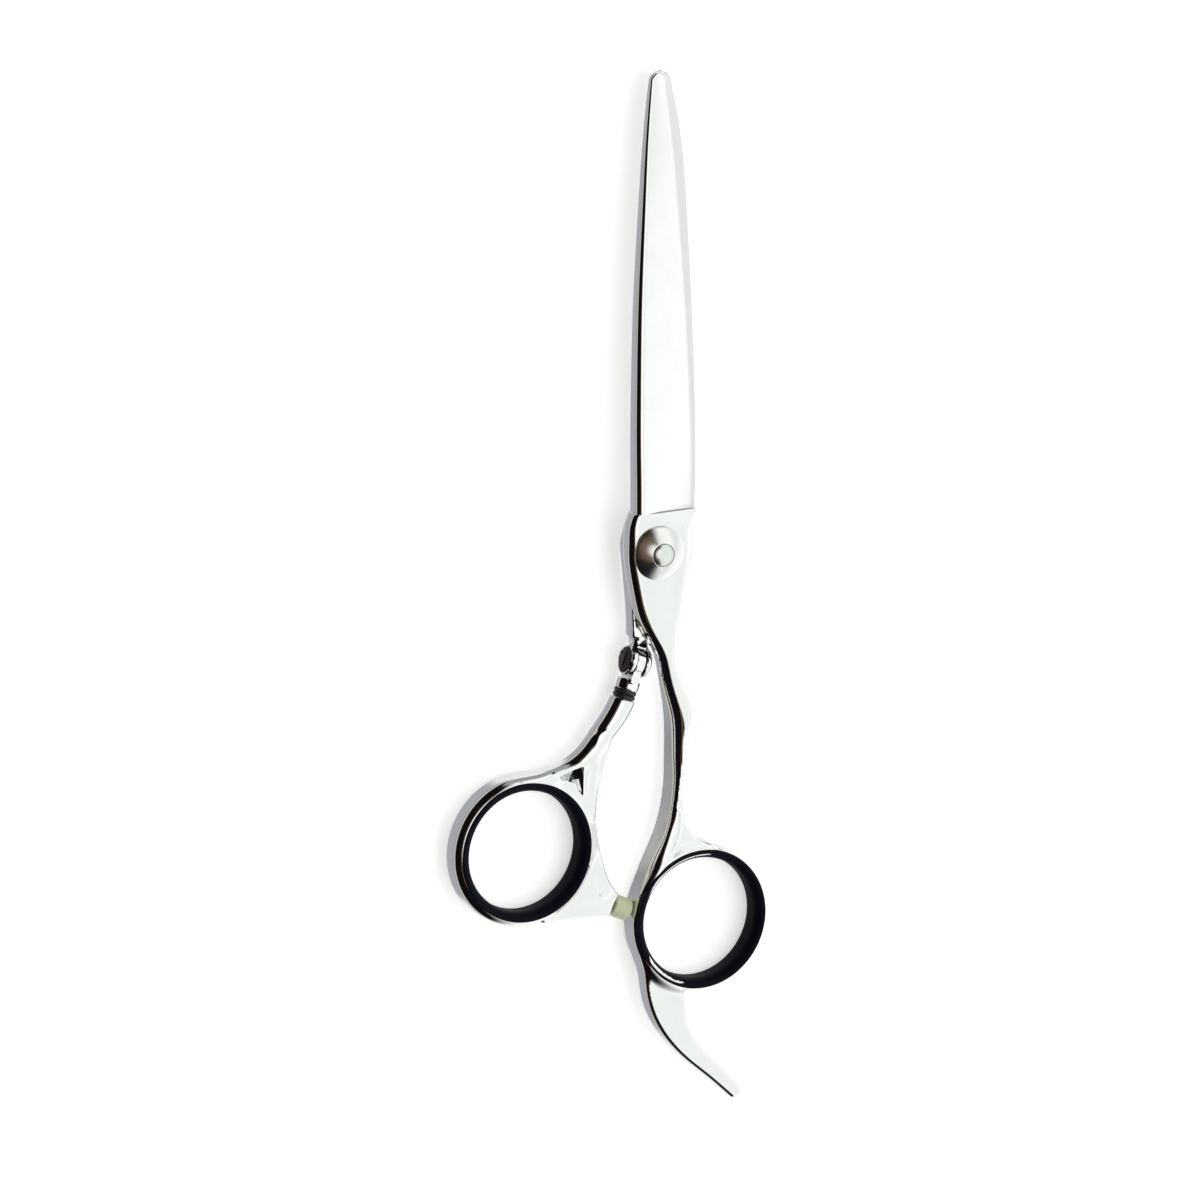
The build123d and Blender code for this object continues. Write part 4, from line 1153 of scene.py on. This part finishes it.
def elevation_colours(tree, rise, stops):
    """Colours over the height in the sky."""
    ramp = tree.nodes.new("ShaderNodeValToRGB")
    set_ramp(ramp.color_ramp, stops)
    tree.links.new(rise, ramp.inputs["Fac"])
    return ramp.outputs["Color"]


# Colours of the studio by degrees above the horizon
WHITE, DARK = (1.0, 1.0, 1.0), (0.004, 0.004, 0.006)
WARM, BEIGE = (0.30, 0.15, 0.06), (0.62, 0.55, 0.42)
SCREEN_STOPS = [
    (-90, (0.62, 0.62, 0.66)), (-66, (0.52, 0.52, 0.56)), (-59, (0.34, 0.34, 0.37)),
    (-50, (0.26, 0.26, 0.27)), (-40, (0.46, 0.46, 0.44)), (-27, BEIGE), (-21, DARK), (54, DARK),
    (57, WARM), (60, DARK), (65, DARK), (67, BEIGE), (71, WHITE),
]
ROOM_STOPS = [
    (-90, WHITE), (-64, (0.74, 0.74, 0.77)), (-50, (0.80, 0.80, 0.80)), (-20, (0.92, 0.92, 0.92)),
    (5, WHITE), (20, (0.66, 0.67, 0.66)), (33, WHITE), (52, (0.84, 0.86, 0.84)),
    (66, (0.84, 0.86, 0.84)), (77, WHITE),
]
STUDIO_STRENGTH = 1.20
SCREEN_EDGE = (-0.42, 0.00)       # how far to the left a direction points where the screen fades in
CARD_DIRECTION = (0.40, 0.90, 0.10)
CARD_EDGE = (0.88, 0.93)          # cosines of the angle from the card's middle
CARD_GREY = (0.32, 0.33, 0.33)


def make_studio():
    """White studio with a dark screen on the shears' left side and a grey card beyond the tips."""
    world = bpy.data.worlds.new("studio")
    bpy.context.scene.world = world
    world.use_nodes = True
    tree = world.node_tree
    background = tree.nodes["Background"]
    background.inputs["Strength"].default_value = STUDIO_STRENGTH
    direction = tree.nodes.new("ShaderNodeTexCoord").outputs["Generated"]
    split = tree.nodes.new("ShaderNodeSeparateXYZ")
    tree.links.new(direction, split.inputs["Vector"])
    rise = spread(tree, split.outputs["Z"], 0, 1)
    rise.node.inputs["From Min"].default_value = -1
    heading = vector_maths(tree, "NORMALIZE", vector_maths(tree, "MULTIPLY", direction, (1, 1, 0)))
    leftness = vector_maths(tree, "DOT_PRODUCT", heading, (-1, 0, 0))
    nearness = vector_maths(tree, "DOT_PRODUCT", direction, Vector(CARD_DIRECTION).normalized())
    room = elevation_colours(tree, rise, ROOM_STOPS)
    screen = elevation_colours(tree, rise, SCREEN_STOPS)
    walls = mixed(tree, soft_step(tree, leftness, *SCREEN_EDGE), room, screen)
    studio = mixed(tree, soft_step(tree, nearness, *CARD_EDGE), walls, CARD_GREY)
    tree.links.new(studio, background.inputs["Color"])


KEY_PLACE = (0.5, -0.4, 1.6)
KEY_SIZE = 1.2
KEY_POWER = 3.0


def make_key_light():
    """Large soft light above, which lifts the floor to white."""
    data = bpy.data.lights.new("soft key", "AREA")
    data.shape = "DISK"
    data.size = KEY_SIZE
    data.energy = KEY_POWER
    light = bpy.data.objects.new("soft key", data)
    light.location = KEY_PLACE
    light.rotation_euler = (Vector((0, 0, 0)) - light.location).to_track_quat("-Z", "Y").to_euler()
    light.visible_glossy = False
    bpy.context.scene.collection.objects.link(light)


# ------------------------------------------------------------------ the object
dress_kept_nodes()
make_finger_half()
make_thumb_half()
make_thumb_ring()
make_tension_dial()
make_dial_cap()
make_insert("finger_insert_rubber", "finger_half", FINGER_RING_CENTRE, "finger_ring_insert")
make_insert("thumb_insert_rubber", "thumb_ring", THUMB_RING_CENTRE, "thumb_ring_insert")
make_bumper()
make_cross_screw()
make_swivel_link()
make_collar()
make_pivot_bolt()

make_floor()
make_studio()
make_key_light()
make_camera()
bpy.context.scene.view_settings.view_transform = "Standard"
